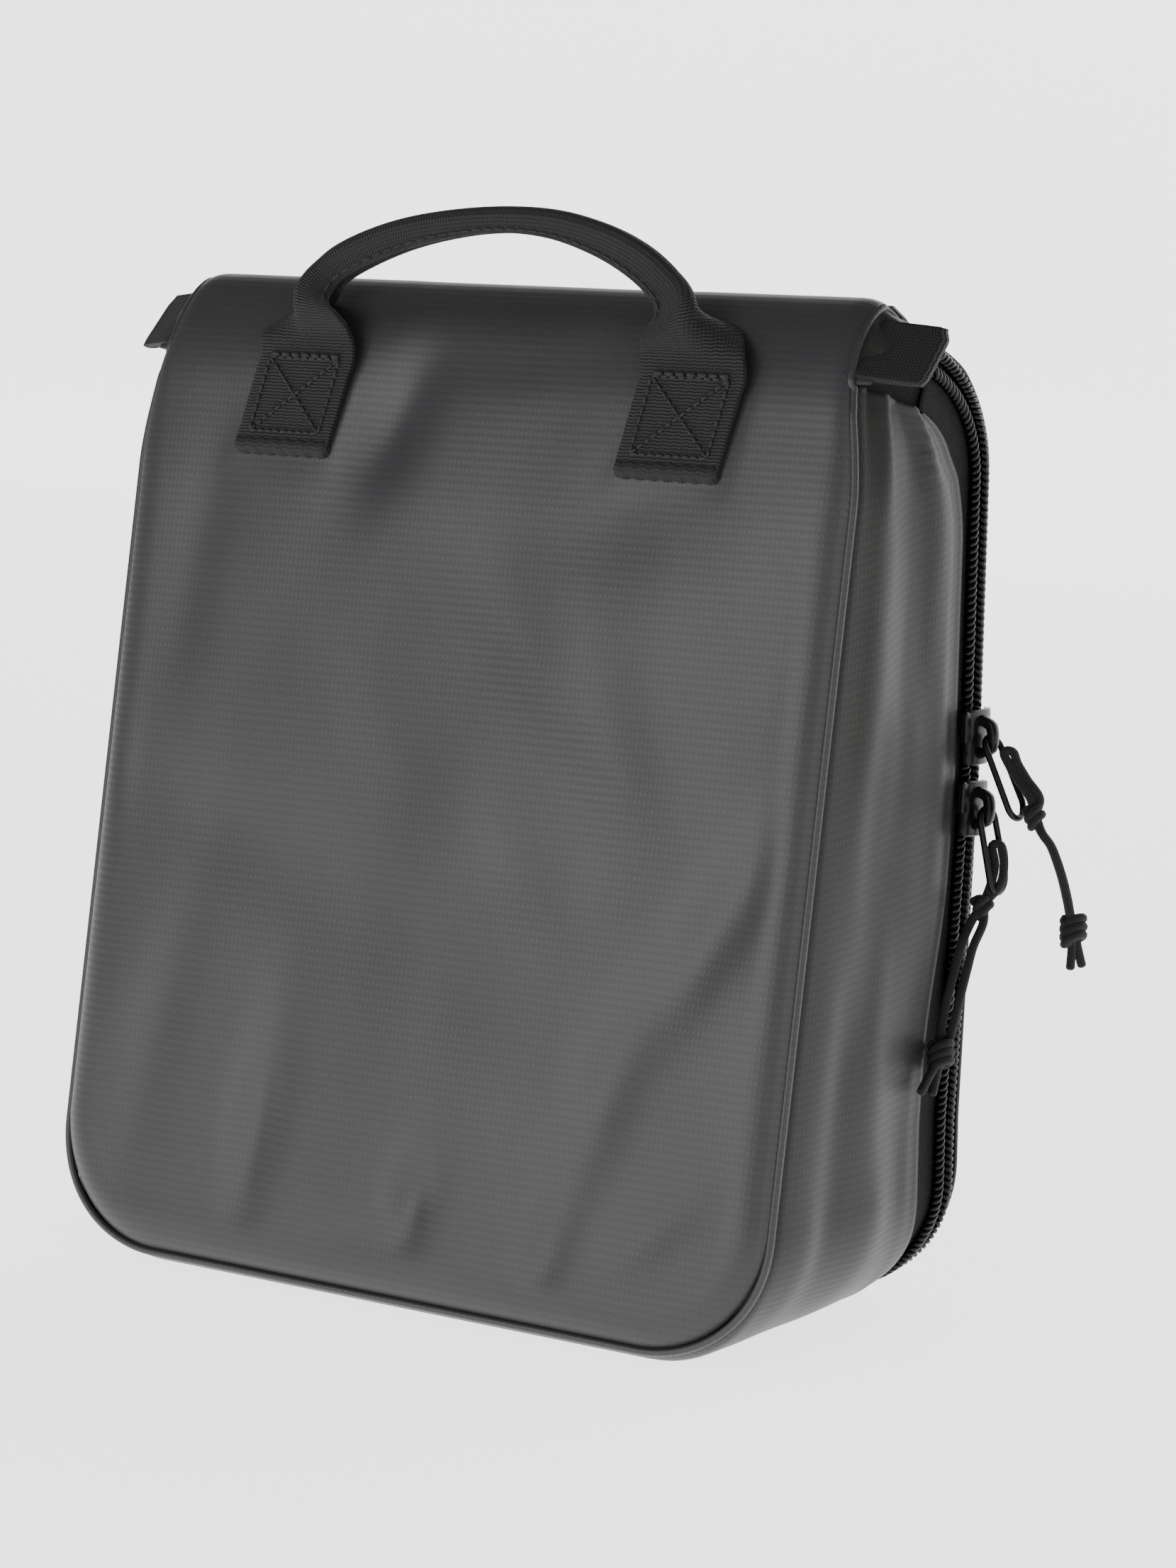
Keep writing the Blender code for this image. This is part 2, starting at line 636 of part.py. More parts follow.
HANDLE_ROUTE = [
    (-0.0545, HANDLE_AXIS[0], HANDLE_AXIS[1] + GAP), (-0.0560, -0.0050, 0.2475), (-0.0530, -0.0030, 0.2555),
    (-0.0450, -0.0018, 0.2621), (-0.0270, -0.0005, 0.2688), (-0.0050, 0.0005, 0.2725),
    (0.0150, 0.0005, 0.2725), (0.0320, -0.0005, 0.2690), (0.0460, -0.0018, 0.2632),
    (0.0560, -0.0030, 0.2555), (0.0615, -0.0050, 0.2475), (0.0640, HANDLE_AXIS[0], HANDLE_AXIS[1] + GAP)]


def handle():
    """The carrying handle: flat webbing at its two ends, folded to a round grip along the arch."""
    spine = smooth_route(HANDLE_ROUTE, 0.004)
    walked = [0.0]
    for a, b in zip(spine, spine[1:]):
        walked.append(walked[-1] + (b - a).length)
    flare = 0.016
    sides = 12
    rings = []
    for i, point in enumerate(spine):
        along = (spine[min(i + 1, len(spine) - 1)] - spine[max(i - 1, 0)]).normalized()
        from_end = min(walked[i], walked[-1] - walked[i])
        share = min(1.0, from_end / flare)
        share = share * share * (3 - 2 * share)
        half_wide = 0.0148 + (0.0043 - 0.0148) * share
        half_thick = 0.0008 + (0.0030 - 0.0008) * share
        if from_end < 1e-6:
            along = Vector((0.0, 0.0, 1.0 if i == 0 else -1.0))
        thick_way = Vector((0.0, 1.0, 0.0))
        wide_way = thick_way.cross(along).normalized()
        thick_way = along.cross(wide_way)
        ring = []
        for k in range(sides):
            angle = 2 * math.pi * k / sides
            ring.append(point + wide_way * half_wide * math.cos(angle) + thick_way * half_thick * math.sin(angle))
        rings.append(ring)
    work = bmesh.new()
    made = [[work.verts.new(point) for point in ring] for ring in rings]
    for a, b in zip(made, made[1:]):
        for k in range(sides):
            work.faces.new((a[k], a[(k + 1) % sides], b[(k + 1) % sides], b[k]))
    work.faces.new(made[0])
    work.faces.new(made[-1])
    bmesh.ops.recalc_face_normals(work, faces=work.faces)
    mesh = bpy.data.meshes.new("handle_grip")
    work.to_mesh(mesh)
    work.free()
    place("handle_grip", mesh, "webbing", (0.0, *HANDLE_AXIS))


# Sliders and pulls

class Run:
    """A straight stretch of the zip on the right side, with its own frame: out, across and up."""

    def __init__(self, low, high):
        self.low = Vector((WIDTH / 2, *low))
        self.up = (Vector((WIDTH / 2, *high)) - self.low).normalized()
        self.out = Vector((1.0, 0.0, 0.0))
        self.across = self.up.cross(self.out)

    def at(self, height, out=0.0, across=0.0, up=0.0):
        start = self.low + self.up * ((height - self.low.z) / self.up.z)
        return start + self.out * out + self.across * across + self.up * up


UPPER_RUN = Run(ZIP_BEND, ZIP_HIGH)
LOWER_RUN = Run(ZIP_LOW, ZIP_BEND)
COIL_TOP = COIL_HEIGHT - CLOTH      # the coils' crown over the bag's side
PLATE_LOW = COIL_TOP + GAP
PLATE_HIGH = PLATE_LOW + SLIDER_PLATE
INNER_HIGH = -(TAPE_DEPTH + TAPE + GAP)
INNER_LOW = INNER_HIGH - SLIDER_PLATE
RING_OUT = PLATE_HIGH + 0.0024      # the ring's pivot over the bag's side


def slider(name, run, height):
    """Two plates joined by a thin neck between the coils, a rim on the front side, and a bridge for the ring."""
    neck = 0.00035
    coil_edge = COIL_NEAR + COIL_WIDTH + GAP
    rim_low = 0.0004
    section = [(PLATE_HIGH, -SLIDER_HALF_WIDTH), (PLATE_HIGH, SLIDER_HALF_WIDTH), (PLATE_LOW, SLIDER_HALF_WIDTH),
               (PLATE_LOW, neck), (INNER_HIGH, neck), (INNER_HIGH, SLIDER_HALF_WIDTH - 0.0006),
               (INNER_LOW, SLIDER_HALF_WIDTH - 0.0006), (INNER_LOW, -SLIDER_HALF_WIDTH + 0.0006),
               (INNER_HIGH, -SLIDER_HALF_WIDTH + 0.0006), (INNER_HIGH, -neck), (PLATE_LOW, -neck),
               (PLATE_LOW, -coil_edge), (rim_low, -coil_edge), (rim_low, -SLIDER_HALF_WIDTH)]
    low = -SLIDER_LENGTH / 2
    outline = [run.at(height, out, across, low) for out, across in section]
    pivot = run.at(height)
    obj = place(name, prism_mesh(name, outline, run.up * SLIDER_LENGTH), "slider_metal", pivot)
    outer, inner, foot = BRIDGE_LENGTH / 2, BRIDGE_LENGTH / 2 - BRIDGE_METAL, PLATE_HIGH - 0.0004
    arch = []
    for radius, turn in ((outer, 1), (inner, -1)):
        angles = [math.pi * n / 10 for n in range(11)][::turn]
        rise = BRIDGE_RISE if turn > 0 else BRIDGE_RISE - BRIDGE_METAL
        for angle in angles:
            arch.append(run.at(height, foot + rise * math.sin(angle), -BRIDGE_WIDTH / 2, radius * math.cos(angle)))
    join_to(obj, prism_mesh(name + "_bridge", arch, run.across * BRIDGE_WIDTH))
    return pivot


def ring(name, run, height, lean_out, lean_back):
    """A long wire loop through the slider's bridge, and the point at its far end."""
    pivot = run.at(height, RING_OUT)
    down = (Matrix.Rotation(-lean_out, 3, "Y") @ Matrix.Rotation(lean_back, 3, "X")) @ Vector((0.0, 0.0, -1.0))
    side = Vector((0.0, 1.0, 0.0))
    side = (side - down * side.dot(down)).normalized()
    radius = RING_WIDTH / 2
    points = []
    for end, turn in ((0.0, 1), (RING_LENGTH, -1)):
        for n in range(9):
            angle = math.pi * n / 8
            depth = end + turn * radius * 0.55 * (1 - math.sin(angle)) if n not in (3, 4, 5) else end
            points.append(pivot + side * radius * math.cos(angle) * turn + down * depth)
    place(name, tube_mesh(name, points, RING_WIRE / 2, cyclic=True), "ring_metal", pivot)
    return pivot + down * RING_LENGTH


def pull_cord(name, hold, hitch_offset, route, end_offset, tails):
    """A doubled cord: a hitch beside the ring's end, two legs, and an end knot with two cut tails."""
    hitch_at = hold + Vector(hitch_offset)
    place(name + "_hitch", ball_mesh(name + "_hitch", hitch_at, KNOT), "cord", hold)
    middle = smooth_route([hitch_at + Vector(point) for point in route], 0.0045)
    for leg, turn in (("a", 1), ("b", -1)):
        shift = Vector((0.0, turn * LEG_SPACING / 2, 0.0))
        mesh = tube_mesh(name + "_leg_" + leg, [point + shift for point in middle], CORD_WIDTH / 2)
        place(name + "_leg_" + leg, mesh, "cord", hold)
    end_at = middle[-1] + Vector(end_offset)
    end = place(name + "_end_knot", ball_mesh(name + "_end_knot", end_at, KNOT), "cord", hold)
    for n, tail in enumerate(tails):
        points = smooth_route([end_at, end_at + Vector(tail) * 0.5, end_at + Vector(tail)], 0.004)
        join_to(end, tube_mesh(name + "_tail_" + str(n), points, CORD_WIDTH / 2))


UPPER_HEIGHT = 0.1465
LOWER_HEIGHT = 0.1285
KNOT = (0.0027, 0.0030, 0.0034)
UPPER_HITCH = (0.0040, 0.0006, 0.0012)          # from the ring's far end
UPPER_LEGS = ((0.0020, 0.0004, -0.0044), (0.0045, 0.0012, -0.0080), (0.0068, 0.0024, -0.0148),
              (0.0081, 0.0034, -0.0208), (0.0088, 0.0040, -0.0250))
UPPER_TAILS = ((0.0020, 0.0012, -0.0090), (0.0004, -0.0018, -0.0094))
LOWER_HITCH = (-0.0026, -0.0034, -0.0030)
LOWER_LEGS = ((-0.0002, -0.0024, -0.0044), (-0.0007, -0.0062, -0.0098), (-0.0011, -0.0084, -0.0156),
              (-0.0015, -0.0113, -0.0232), (-0.0019, -0.0141, -0.0320))
LOWER_TAILS = ((0.0000, -0.0095, -0.0078), (0.0004, -0.0045, -0.0090))


def pulls():
    slider("upper_slider", UPPER_RUN, UPPER_HEIGHT)
    hold = ring("upper_ring", UPPER_RUN, UPPER_HEIGHT, math.radians(23), math.radians(4))
    pull_cord("upper_cord", hold, UPPER_HITCH, UPPER_LEGS, (0.0008, 0.0005, -0.0037), UPPER_TAILS)
    slider("lower_slider", LOWER_RUN, LOWER_HEIGHT)
    hold = ring("lower_ring", LOWER_RUN, LOWER_HEIGHT, math.radians(9), math.radians(6))
    pull_cord("lower_cord", hold, LOWER_HITCH, LOWER_LEGS, (0.0001, -0.0020, -0.0040), LOWER_TAILS)


def pocket_slider():
    """The small slider on the mesh pocket's zip, with its flat pull."""
    z = POCKET_ZIP_Z
    face = back_y(z) - (POCKET_DEPTH + TAPE + GAP + POCKET_COIL + GAP)
    x = -0.070
    half_x, half_z, slider_thick, pull_thick = 0.0045, 0.0035, 0.0014, 0.0010
    name = "pocket_slider"
    outline = [(x + dx, face - 0.0002, z + dz) for dx, dz in
               ((-half_x, -half_z), (half_x, -half_z), (half_x, half_z), (-half_x, half_z))]
    solid = prism_mesh(name, outline, Vector((0.0, -slider_thick, 0.0)))
    obj = place(name, solid, "slider_metal", (x, face, z))
    bevel = obj.modifiers.new("soft_edges", "BEVEL")
    bevel.width = 0.0004
    bevel.segments = 2
    name = "pocket_pull"
    pull_face = face - slider_thick - 0.0005
    outline = [(x + dx, pull_face, z + dz) for dx, dz in
               ((-0.0020, 0.0), (0.0020, 0.0), (0.0026, -0.0180), (0.0, -0.0195), (-0.0026, -0.0180))]
    place(name, prism_mesh(name, outline, Vector((0.0, -pull_thick, 0.0))), "slider_metal", (x, face, z))


front_of_bag()
gusset_of_bag()
corner_facings()
cover_of_bag()
zip_of_bag()
tab("tab_right", 1)
tab("tab_left", -1)
handle_patch("left")
handle_patch("right")
handle()
pulls()
pocket_slider()
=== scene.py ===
"""Clamshell wash bag: coated cloth shell, zipped back cover, webbing handle and corded zip pulls."""
import math

import bmesh
import bpy
from mathutils import Matrix, Vector, noise


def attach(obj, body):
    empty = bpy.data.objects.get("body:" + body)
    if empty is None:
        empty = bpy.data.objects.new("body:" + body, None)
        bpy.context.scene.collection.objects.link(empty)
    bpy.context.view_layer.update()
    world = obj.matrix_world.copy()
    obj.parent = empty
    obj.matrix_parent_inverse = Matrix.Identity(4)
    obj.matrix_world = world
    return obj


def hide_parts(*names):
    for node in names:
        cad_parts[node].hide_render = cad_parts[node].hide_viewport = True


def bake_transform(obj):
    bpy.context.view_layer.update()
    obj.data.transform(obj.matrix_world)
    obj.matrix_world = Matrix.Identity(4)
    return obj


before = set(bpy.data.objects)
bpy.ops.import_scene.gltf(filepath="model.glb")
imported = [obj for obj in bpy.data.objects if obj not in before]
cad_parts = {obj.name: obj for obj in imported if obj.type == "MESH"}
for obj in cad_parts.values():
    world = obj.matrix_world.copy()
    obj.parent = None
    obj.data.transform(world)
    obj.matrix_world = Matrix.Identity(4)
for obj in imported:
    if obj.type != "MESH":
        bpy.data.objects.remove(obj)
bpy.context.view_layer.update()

MM = 0.001

# The bag's driving sizes, in metres, in the same frame as its solids
WIDTH = 0.220
HALF = WIDTH / 2
CORNER = 0.034
FRONT_FOOT = -0.0445
FRONT_LEAN = 0.176
FRONT_LIFT = 0.004
CROWN_START = 0.228
CREST = (0.0155, 0.2555)
HINGE = (0.0240, 0.2523)
FRONT_ROLL = 0.008
ZIP_LIFT = 0.0035
ZIP_ROLL = 0.014
ZIP_LOW = (0.0445, 0.050)
ZIP_BEND = (0.0525, 0.137)
ZIP_HIGH = (0.0535, 0.212)
ZIP_END = (0.0300, 0.2405)
SEAM_TOP = 0.2360
COVER_EDGE_HIGH = 0.0062
COVER_EDGE_LOW = 0.0085
BACK_BULGE = 0.006
GAP = 0.0003
CLOTH = 0.0008
FOAM = 0.0025
LINING = 0.0005
TAPE = 0.0006
FOAM_DEPTH = CLOTH + GAP
LINING_DEPTH = FOAM_DEPTH + FOAM + GAP
POCKET_DEPTH = LINING_DEPTH + LINING + GAP
COVER_INSET = 0.0046
COIL_NEAR = 0.0007
COIL_WIDTH = 0.0037
COIL_HEIGHT = 0.0026
COIL_PITCH = 0.00181
TAPE_DEPTH = CLOTH + GAP
TAPE_REACH = 0.020
POCKET_ZIP_Z = 0.1730
WEBBING = 0.0016
PATCHES = {"left": (-0.0600, -0.0545), "right": (0.0590, 0.0640)}
PATCH_FOOT, PATCH_TOP = 0.2125, 0.2368
TAB_WIDTH = 0.0185
TAB_REACH = 0.0130
CORD_WIDTH = 0.0024
FOAM_INSET = 0.0030
LINING_INSET = 0.0033
FOAM_TOP_INSET = 0.0010
LINING_TOP_INSET = 0.0014
ROOM_START = LINING_DEPTH + LINING + 2 * GAP
LINING_TO_ZIP = 0.0130
BINDING_WIDTH = 0.009
SLIP_POCKET_INSET = 0.012
SLIP_POCKET_DEPTH = POCKET_DEPTH + 0.0006
SLIP_POCKET = (0.020, 0.1192)
ELASTIC = (0.1180, 0.131)
MESH_POCKET_INSET = 0.018
MESH_POCKET = (0.030, 0.1612)
POCKET_TAPE = (0.1600, 0.1865)

VIEW_TURN, VIEW_RISE, VIEW_ROLL = math.radians(34.24), math.radians(8.6), math.radians(0.806)
VIEW_MIDDLE = Vector((0.0306, -0.0003, 0.1327))
VIEW_DISTANCE = 1.081
LENS_MM, FILM_MM = 98.6, 36.0
SKY_STRENGTH = 0.34
FRONT_POWER, FILL_POWER = 27.0, 8.5


def add_object(name, data):
    made = bpy.data.objects.new(name, data)
    bpy.context.scene.collection.objects.link(made)
    return made


def beside(items, i):
    """The items before and after this one, or itself where the row ends."""
    return items[max(i - 1, 0)], items[min(i + 1, len(items) - 1)]


# Camera and light

def set_camera():
    back = Vector((math.sin(VIEW_TURN) * math.cos(VIEW_RISE), -math.cos(VIEW_TURN) * math.cos(VIEW_RISE),
                   math.sin(VIEW_RISE)))
    right = Vector((math.cos(VIEW_TURN), math.sin(VIEW_TURN), 0.0))
    up = back.cross(right)
    rolled_right = right * math.cos(VIEW_ROLL) + up * math.sin(VIEW_ROLL)
    rolled_up = up * math.cos(VIEW_ROLL) - right * math.sin(VIEW_ROLL)
    data = bpy.data.cameras.new("camera")
    data.lens = LENS_MM
    data.sensor_fit = "VERTICAL"
    data.sensor_height = FILM_MM
    data.clip_start = 0.05
    camera = add_object("camera", data)
    turn = Matrix((rolled_right, rolled_up, back)).transposed().to_4x4()
    camera.matrix_world = Matrix.Translation(VIEW_MIDDLE + back * VIEW_DISTANCE) @ turn
    bpy.context.scene.camera = camera


def softbox(name, place, target, size, power):
    data = bpy.data.lights.new(name, "AREA")
    data.shape = "RECTANGLE"
    data.size, data.size_y = size
    data.energy = power
    lamp = add_object(name, data)
    lamp.location = place
    aim = Vector(target) - Vector(place)
    lamp.rotation_euler = aim.to_track_quat("-Z", "Y").to_euler()


def set_light():
    world = bpy.data.worlds.new("studio")
    world.use_nodes = True
    background = world.node_tree.nodes["Background"]
    background.inputs["Color"].default_value = (1.0, 1.0, 1.0, 1.0)
    background.inputs["Strength"].default_value = SKY_STRENGTH
    bpy.context.scene.world = world
    middle = (0.0, 0.0, 0.12)
    softbox("front_light", (-0.50, -1.80, 0.42), middle, (1.4, 1.1), FRONT_POWER)
    softbox("fill_light", (1.55, -1.15, 0.45), middle, (0.8, 1.1), FILL_POWER)


# Shader maths

class Field:
    """A number that varies over a surface, with Python's operators."""

    def __init__(self, finish, socket):
        self.finish, self.socket = finish, socket

    def math(self, operation, *others):
        values = [self] + list(others)
        return self.finish.field("ShaderNodeMath", {"operation": operation}, dict(enumerate(values)))

    def flipped(self, operation, other):
        return self.finish.field("ShaderNodeMath", {"operation": operation}, {0: other, 1: self})

    def __add__(self, other): return self.math("ADD", other)
    def __radd__(self, other): return self.math("ADD", other)
    def __sub__(self, other): return self.math("SUBTRACT", other)
    def __rsub__(self, other): return self.flipped("SUBTRACT", other)
    def __mul__(self, other): return self.math("MULTIPLY", other)
    def __rmul__(self, other): return self.math("MULTIPLY", other)

    def wave(self, length):
        """A smooth wave from -1 to 1 that repeats every length."""
        return (self * (2 * math.pi / length)).math("SINE")

    def zigzag(self, height, length):
        """A line that climbs to height and comes back, once in every length."""
        return self.math("PINGPONG", length / 2) * (2 * height / length)

    def above(self, other): return self.math("GREATER_THAN", other)
    def capped(self, low, high): return self.math("MAXIMUM", low).math("MINIMUM", high)


def add_node(tree, kind, settings=None, sockets=None):
    """A node with its settings made first, and then the values or links of its sockets."""
    made = tree.nodes.new(kind)
    for name, value in (settings or {}).items():
        setattr(made, name, value)
    for name, value in (sockets or {}).items():
        source = value.socket if isinstance(value, Field) else value
        if isinstance(source, bpy.types.NodeSocket):
            tree.links.new(source, made.inputs[name])
        else:
            made.inputs[name].default_value = source
    return made


class Finish:
    """A material built from nodes; the surface's pattern reads the piece's own cloth map, in metres."""

    def __init__(self, name, **constants):
        self.material = bpy.data.materials.new(name)
        self.material.use_nodes = True
        self.tree = self.material.node_tree
        self.shader = self.tree.nodes["Principled BSDF"]
        for socket, value in constants.items():
            self.shader.inputs[socket.replace("_", " ")].default_value = value

    def node(self, kind, settings=None, sockets=None):
        return add_node(self.tree, kind, settings, sockets)

    def field(self, kind, settings=None, sockets=None, output=0):
        return Field(self, self.node(kind, settings, sockets).outputs[output])

    def cloth_map(self):
        """The piece's own map: u across and v along, in metres."""
        uv = self.node("ShaderNodeUVMap", {"uv_map": "cloth"})
        parts = self.node("ShaderNodeSeparateXYZ", None, {"Vector": uv.outputs["UV"]})
        return Field(self, parts.outputs["X"]), Field(self, parts.outputs["Y"])

    def cloud(self, scale, detail):
        place = self.node("ShaderNodeTexCoord").outputs["Object"]
        return self.field("ShaderNodeTexNoise", None, {"Vector": place, "Scale": scale, "Detail": detail})

    def mixed(self, amount, dark, light):
        mix = self.node("ShaderNodeMix", {"data_type": "RGBA"}, {0: amount, 6: (*dark, 1.0), 7: (*light, 1.0)})
        return mix.outputs[2]

    def bump(self, height, strength, distance):
        return self.node("ShaderNodeBump", None, {"Height": height, "Strength": strength,
                                                  "Distance": distance}).outputs["Normal"]

    def dress(self, color, roughness, normal=None, alpha=None):
        """The finished material, with what varies over the surface linked to its shader."""
        for name, value in (("Base Color", color), ("Roughness", roughness), ("Normal", normal), ("Alpha", alpha)):
            if value is not None:
                source = value.socket if isinstance(value, Field) else value
                self.tree.links.new(source, self.shader.inputs[name])
        return self.material


def coated_cloth(name, dark, light, roughness=0.44, shine_level=0.34):
    """Satin coated cloth with a fine brick of raised dashes in rows."""
    f = Finish(name, Specular_IOR_Level=shine_level)
    u, v = f.cloth_map()
    rows = v.wave(2.05 * MM)
    dashes = u.wave(1.36 * MM)
    grain = rows * 0.55 + dashes * 0.30 + rows * dashes * 0.35
    fine = f.cloud(2600.0, 1.0)
    wear = f.cloud(26.0, 3.0)
    amount = (grain * 0.12 + fine * 0.65 + wear * 0.35 + 0.05).capped(0.0, 1.0)
    shine = roughness + grain * -0.035 + (wear - 0.5) * 0.10
    return f.dress(f.mixed(amount, dark, light), shine, f.bump(grain * 0.5 + fine * 0.5, 0.24, 0.14 * MM))


def woven_tape(name, dark, light, pitch, roughness=0.88):
    """A plain close weave, with the yarns crossing in pairs."""
    f = Finish(name, Sheen_Weight=0.02, Sheen_Roughness=0.5, Specular_IOR_Level=0.2)
    u, v = f.cloth_map()
    weave = (u + v).wave(pitch) * (u - v * 0.6).wave(pitch * 0.8)
    fuzz = f.cloud(1800.0, 2.0)
    amount = (weave * 0.35 + fuzz * 0.7 + 0.1).capped(0.0, 1.0)
    return f.dress(f.mixed(amount, dark, light), roughness + fuzz * 0.1, f.bump(weave + fuzz, 0.8, 0.25 * MM))


def ribbed_webbing(name, dark, light, chevron=3.2 * MM, pitch=0.85 * MM):
    """Nylon webbing: slanting yarns that turn in long chevrons, in rows across the width."""
    f = Finish(name, Sheen_Weight=0.03, Sheen_Roughness=0.4, Specular_IOR_Level=0.22)
    u, v = f.cloth_map()
    slant = v + (u + 0.5).zigzag(0.22 * MM, chevron)
    ribs = slant.wave(pitch)
    yarns = u.wave(0.95 * MM)
    fuzz = f.cloud(1500.0, 2.0)
    height = ribs * 0.6 + yarns * 0.25 + ribs * yarns * 0.3
    amount = (height * 0.32 + fuzz * 0.45 + 0.22).capped(0.0, 1.0)
    return f.dress(f.mixed(amount, dark, light), 0.60 - height * 0.08 + fuzz * 0.1,
                   f.bump(height + fuzz * 0.3, 0.75, 0.30 * MM))


def braided(name, dark, light):
    """A round braid: two sets of yarns crossing in diamonds round the cord."""
    f = Finish(name, Sheen_Weight=0.03, Specular_IOR_Level=0.22)
    u, v = f.cloth_map()
    one = (u * 1.35 + v).wave(0.95 * MM)
    other = (u * 1.35 - v).wave(0.95 * MM)
    plait = one.math("MAXIMUM", other)
    fuzz = f.cloud(1500.0, 2.0)
    amount = (plait * 0.35 + fuzz * 0.4 + 0.2).capped(0.0, 1.0)
    return f.dress(f.mixed(amount, dark, light), 0.66 + fuzz * 0.12, f.bump(plait + fuzz * 0.2, 0.8, 0.28 * MM))


def glossy(name, dark, light, roughness):
    """Lacquered metal or drawn nylon, with the slight unevenness of a finish that has been handled."""
    f = Finish(name, Specular_IOR_Level=0.14)
    smudge = f.cloud(240.0, 3.0)
    grit = f.cloud(3000.0, 1.0)
    return f.dress(f.mixed(smudge, dark, light), roughness + (smudge - 0.5) * 0.14,
                   f.bump(grit, 0.12, 0.05 * MM))


def plain_lining(name, dark, light, pitch=0.6 * MM):
    """A thin plain lining with a grid of thicker threads."""
    f = Finish(name, Sheen_Weight=0.2, Sheen_Roughness=0.4)
    u, v = f.cloth_map()
    weave = u.wave(pitch) * v.wave(pitch)
    grid = u.wave(5.2 * MM).math("MAXIMUM", v.wave(5.2 * MM)).above(0.985)
    tone = f.cloud(40.0, 3.0)
    amount = (weave * 0.2 + tone * 0.6 + grid * 0.25 + 0.1).capped(0.0, 1.0)
    return f.dress(f.mixed(amount, dark, light), 0.62 + tone * 0.12,
                   f.bump(weave * 0.5 + grid + tone, 0.5, 0.15 * MM))


def open_mesh(name, dark, light, pitch=2.6 * MM):
    """Knitted mesh: rows of round holes, set off by half a hole in every other row."""
    f = Finish(name)
    u, v = f.cloth_map()
    a = (u * (2 * math.pi / pitch)).math("COSINE")
    b = (v * (2 * math.pi / pitch)).math("COSINE")
    hole = (a * b).above(0.28).math("MAXIMUM", ((a * -1.0) * (b * -1.0)).above(0.28))
    fuzz = f.cloud(900.0, 2.0)
    return f.dress(f.mixed(fuzz, dark, light), 0.75 + fuzz * 0.15, f.bump(a * b * -1.0, 0.5, 0.2 * MM), 1 - hole)


def open_foam(name, dark, light):
    """Sheet foam with its open cells."""
    f = Finish(name)
    cells = f.field("ShaderNodeTexVoronoi", None,
                    {"Vector": f.node("ShaderNodeTexCoord").outputs["Object"], "Scale": 1400.0})
    return f.dress(f.mixed(cells, dark, light), 0.9 + cells * 0.08, f.bump(cells, 0.6, 0.2 * MM))


def pale_floor():
    f = Finish("floor", Specular_IOR_Level=0.2, Emission_Color=(1.0, 1.0, 1.0, 1.0), Emission_Strength=2.2)
    tone = f.cloud(1.5, 2.0)
    return f.dress(f.mixed(tone, (0.80, 0.80, 0.80), (0.84, 0.84, 0.84)), 0.9 + tone * 0.05)


FINISHES = {
    "shell_fabric": coated_cloth("shell_fabric", (0.0100, 0.0100, 0.0108), (0.0250, 0.0250, 0.0272)),
    "gusset_fabric": coated_cloth("gusset_fabric", (0.0090, 0.0086, 0.0082), (0.0225, 0.0213, 0.0203), 0.46, 0.16),
    "foam": open_foam("foam", (0.16, 0.16, 0.17), (0.30, 0.30, 0.31)),
    "lining": plain_lining("lining", (0.16, 0.165, 0.175), (0.34, 0.35, 0.37)),
    "mesh": open_mesh("mesh", (0.020, 0.020, 0.022), (0.07, 0.07, 0.075)),
    "binding": ribbed_webbing("binding", (0.004, 0.004, 0.0045), (0.020, 0.020, 0.021), 2.0 * MM, 0.9 * MM),
    "zip_tape": woven_tape("zip_tape", (0.0015, 0.0015, 0.0015), (0.0125, 0.0120, 0.0112), 1.3 * MM),
    "zip_coil": glossy("zip_coil", (0.0010, 0.0010, 0.0010), (0.0024, 0.0024, 0.0023), 0.34),
    "webbing": ribbed_webbing("webbing", (0.0030, 0.0030, 0.0032), (0.0170, 0.0170, 0.0180)),
    "thread": woven_tape("thread", (0.012, 0.012, 0.0125), (0.050, 0.049, 0.049), 0.5 * MM, 0.6),
    "slider_metal": glossy("slider_metal", (0.0020, 0.0020, 0.0021), (0.0050, 0.0050, 0.0052), 0.27),
    "ring_metal": glossy("ring_metal", (0.0020, 0.0020, 0.0021), (0.0050, 0.0050, 0.0052), 0.28),
    "cord": braided("cord", (0.0020, 0.0020, 0.0020), (0.0130, 0.0128, 0.0125)),
}


# Mesh building

def new_piece(name, mesh, slot, body=None, stands_for=(), bend=None):
    """Link a finished mesh, give it its finish, and tie it to a body; with bend given, its transform is only baked in
    and it is tied to no body.
    """
    for polygon in mesh.polygons:
        polygon.use_smooth = True
    if slot == "slider_metal":
        mesh.set_sharp_from_angle(angle=math.radians(30))
    mesh.materials.clear()
    mesh.materials.append(FINISHES[slot])
    piece = add_object(name, mesh)
    if bend:
        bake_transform(piece)
    elif body:
        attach(piece, body)
    if stands_for:
        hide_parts(*stands_for)
    return piece


def mapped_mesh(name, points, faces, uvs):
    """A mesh whose cloth map gives each vertex its place on the cloth."""
    mesh = bpy.data.meshes.new(name)
    mesh.from_pydata(points, [], faces)
    layer = mesh.uv_layers.new(name="cloth")
    for loop in mesh.loops:
        layer.data[loop.index].uv = uvs[loop.vertex_index]
    return mesh


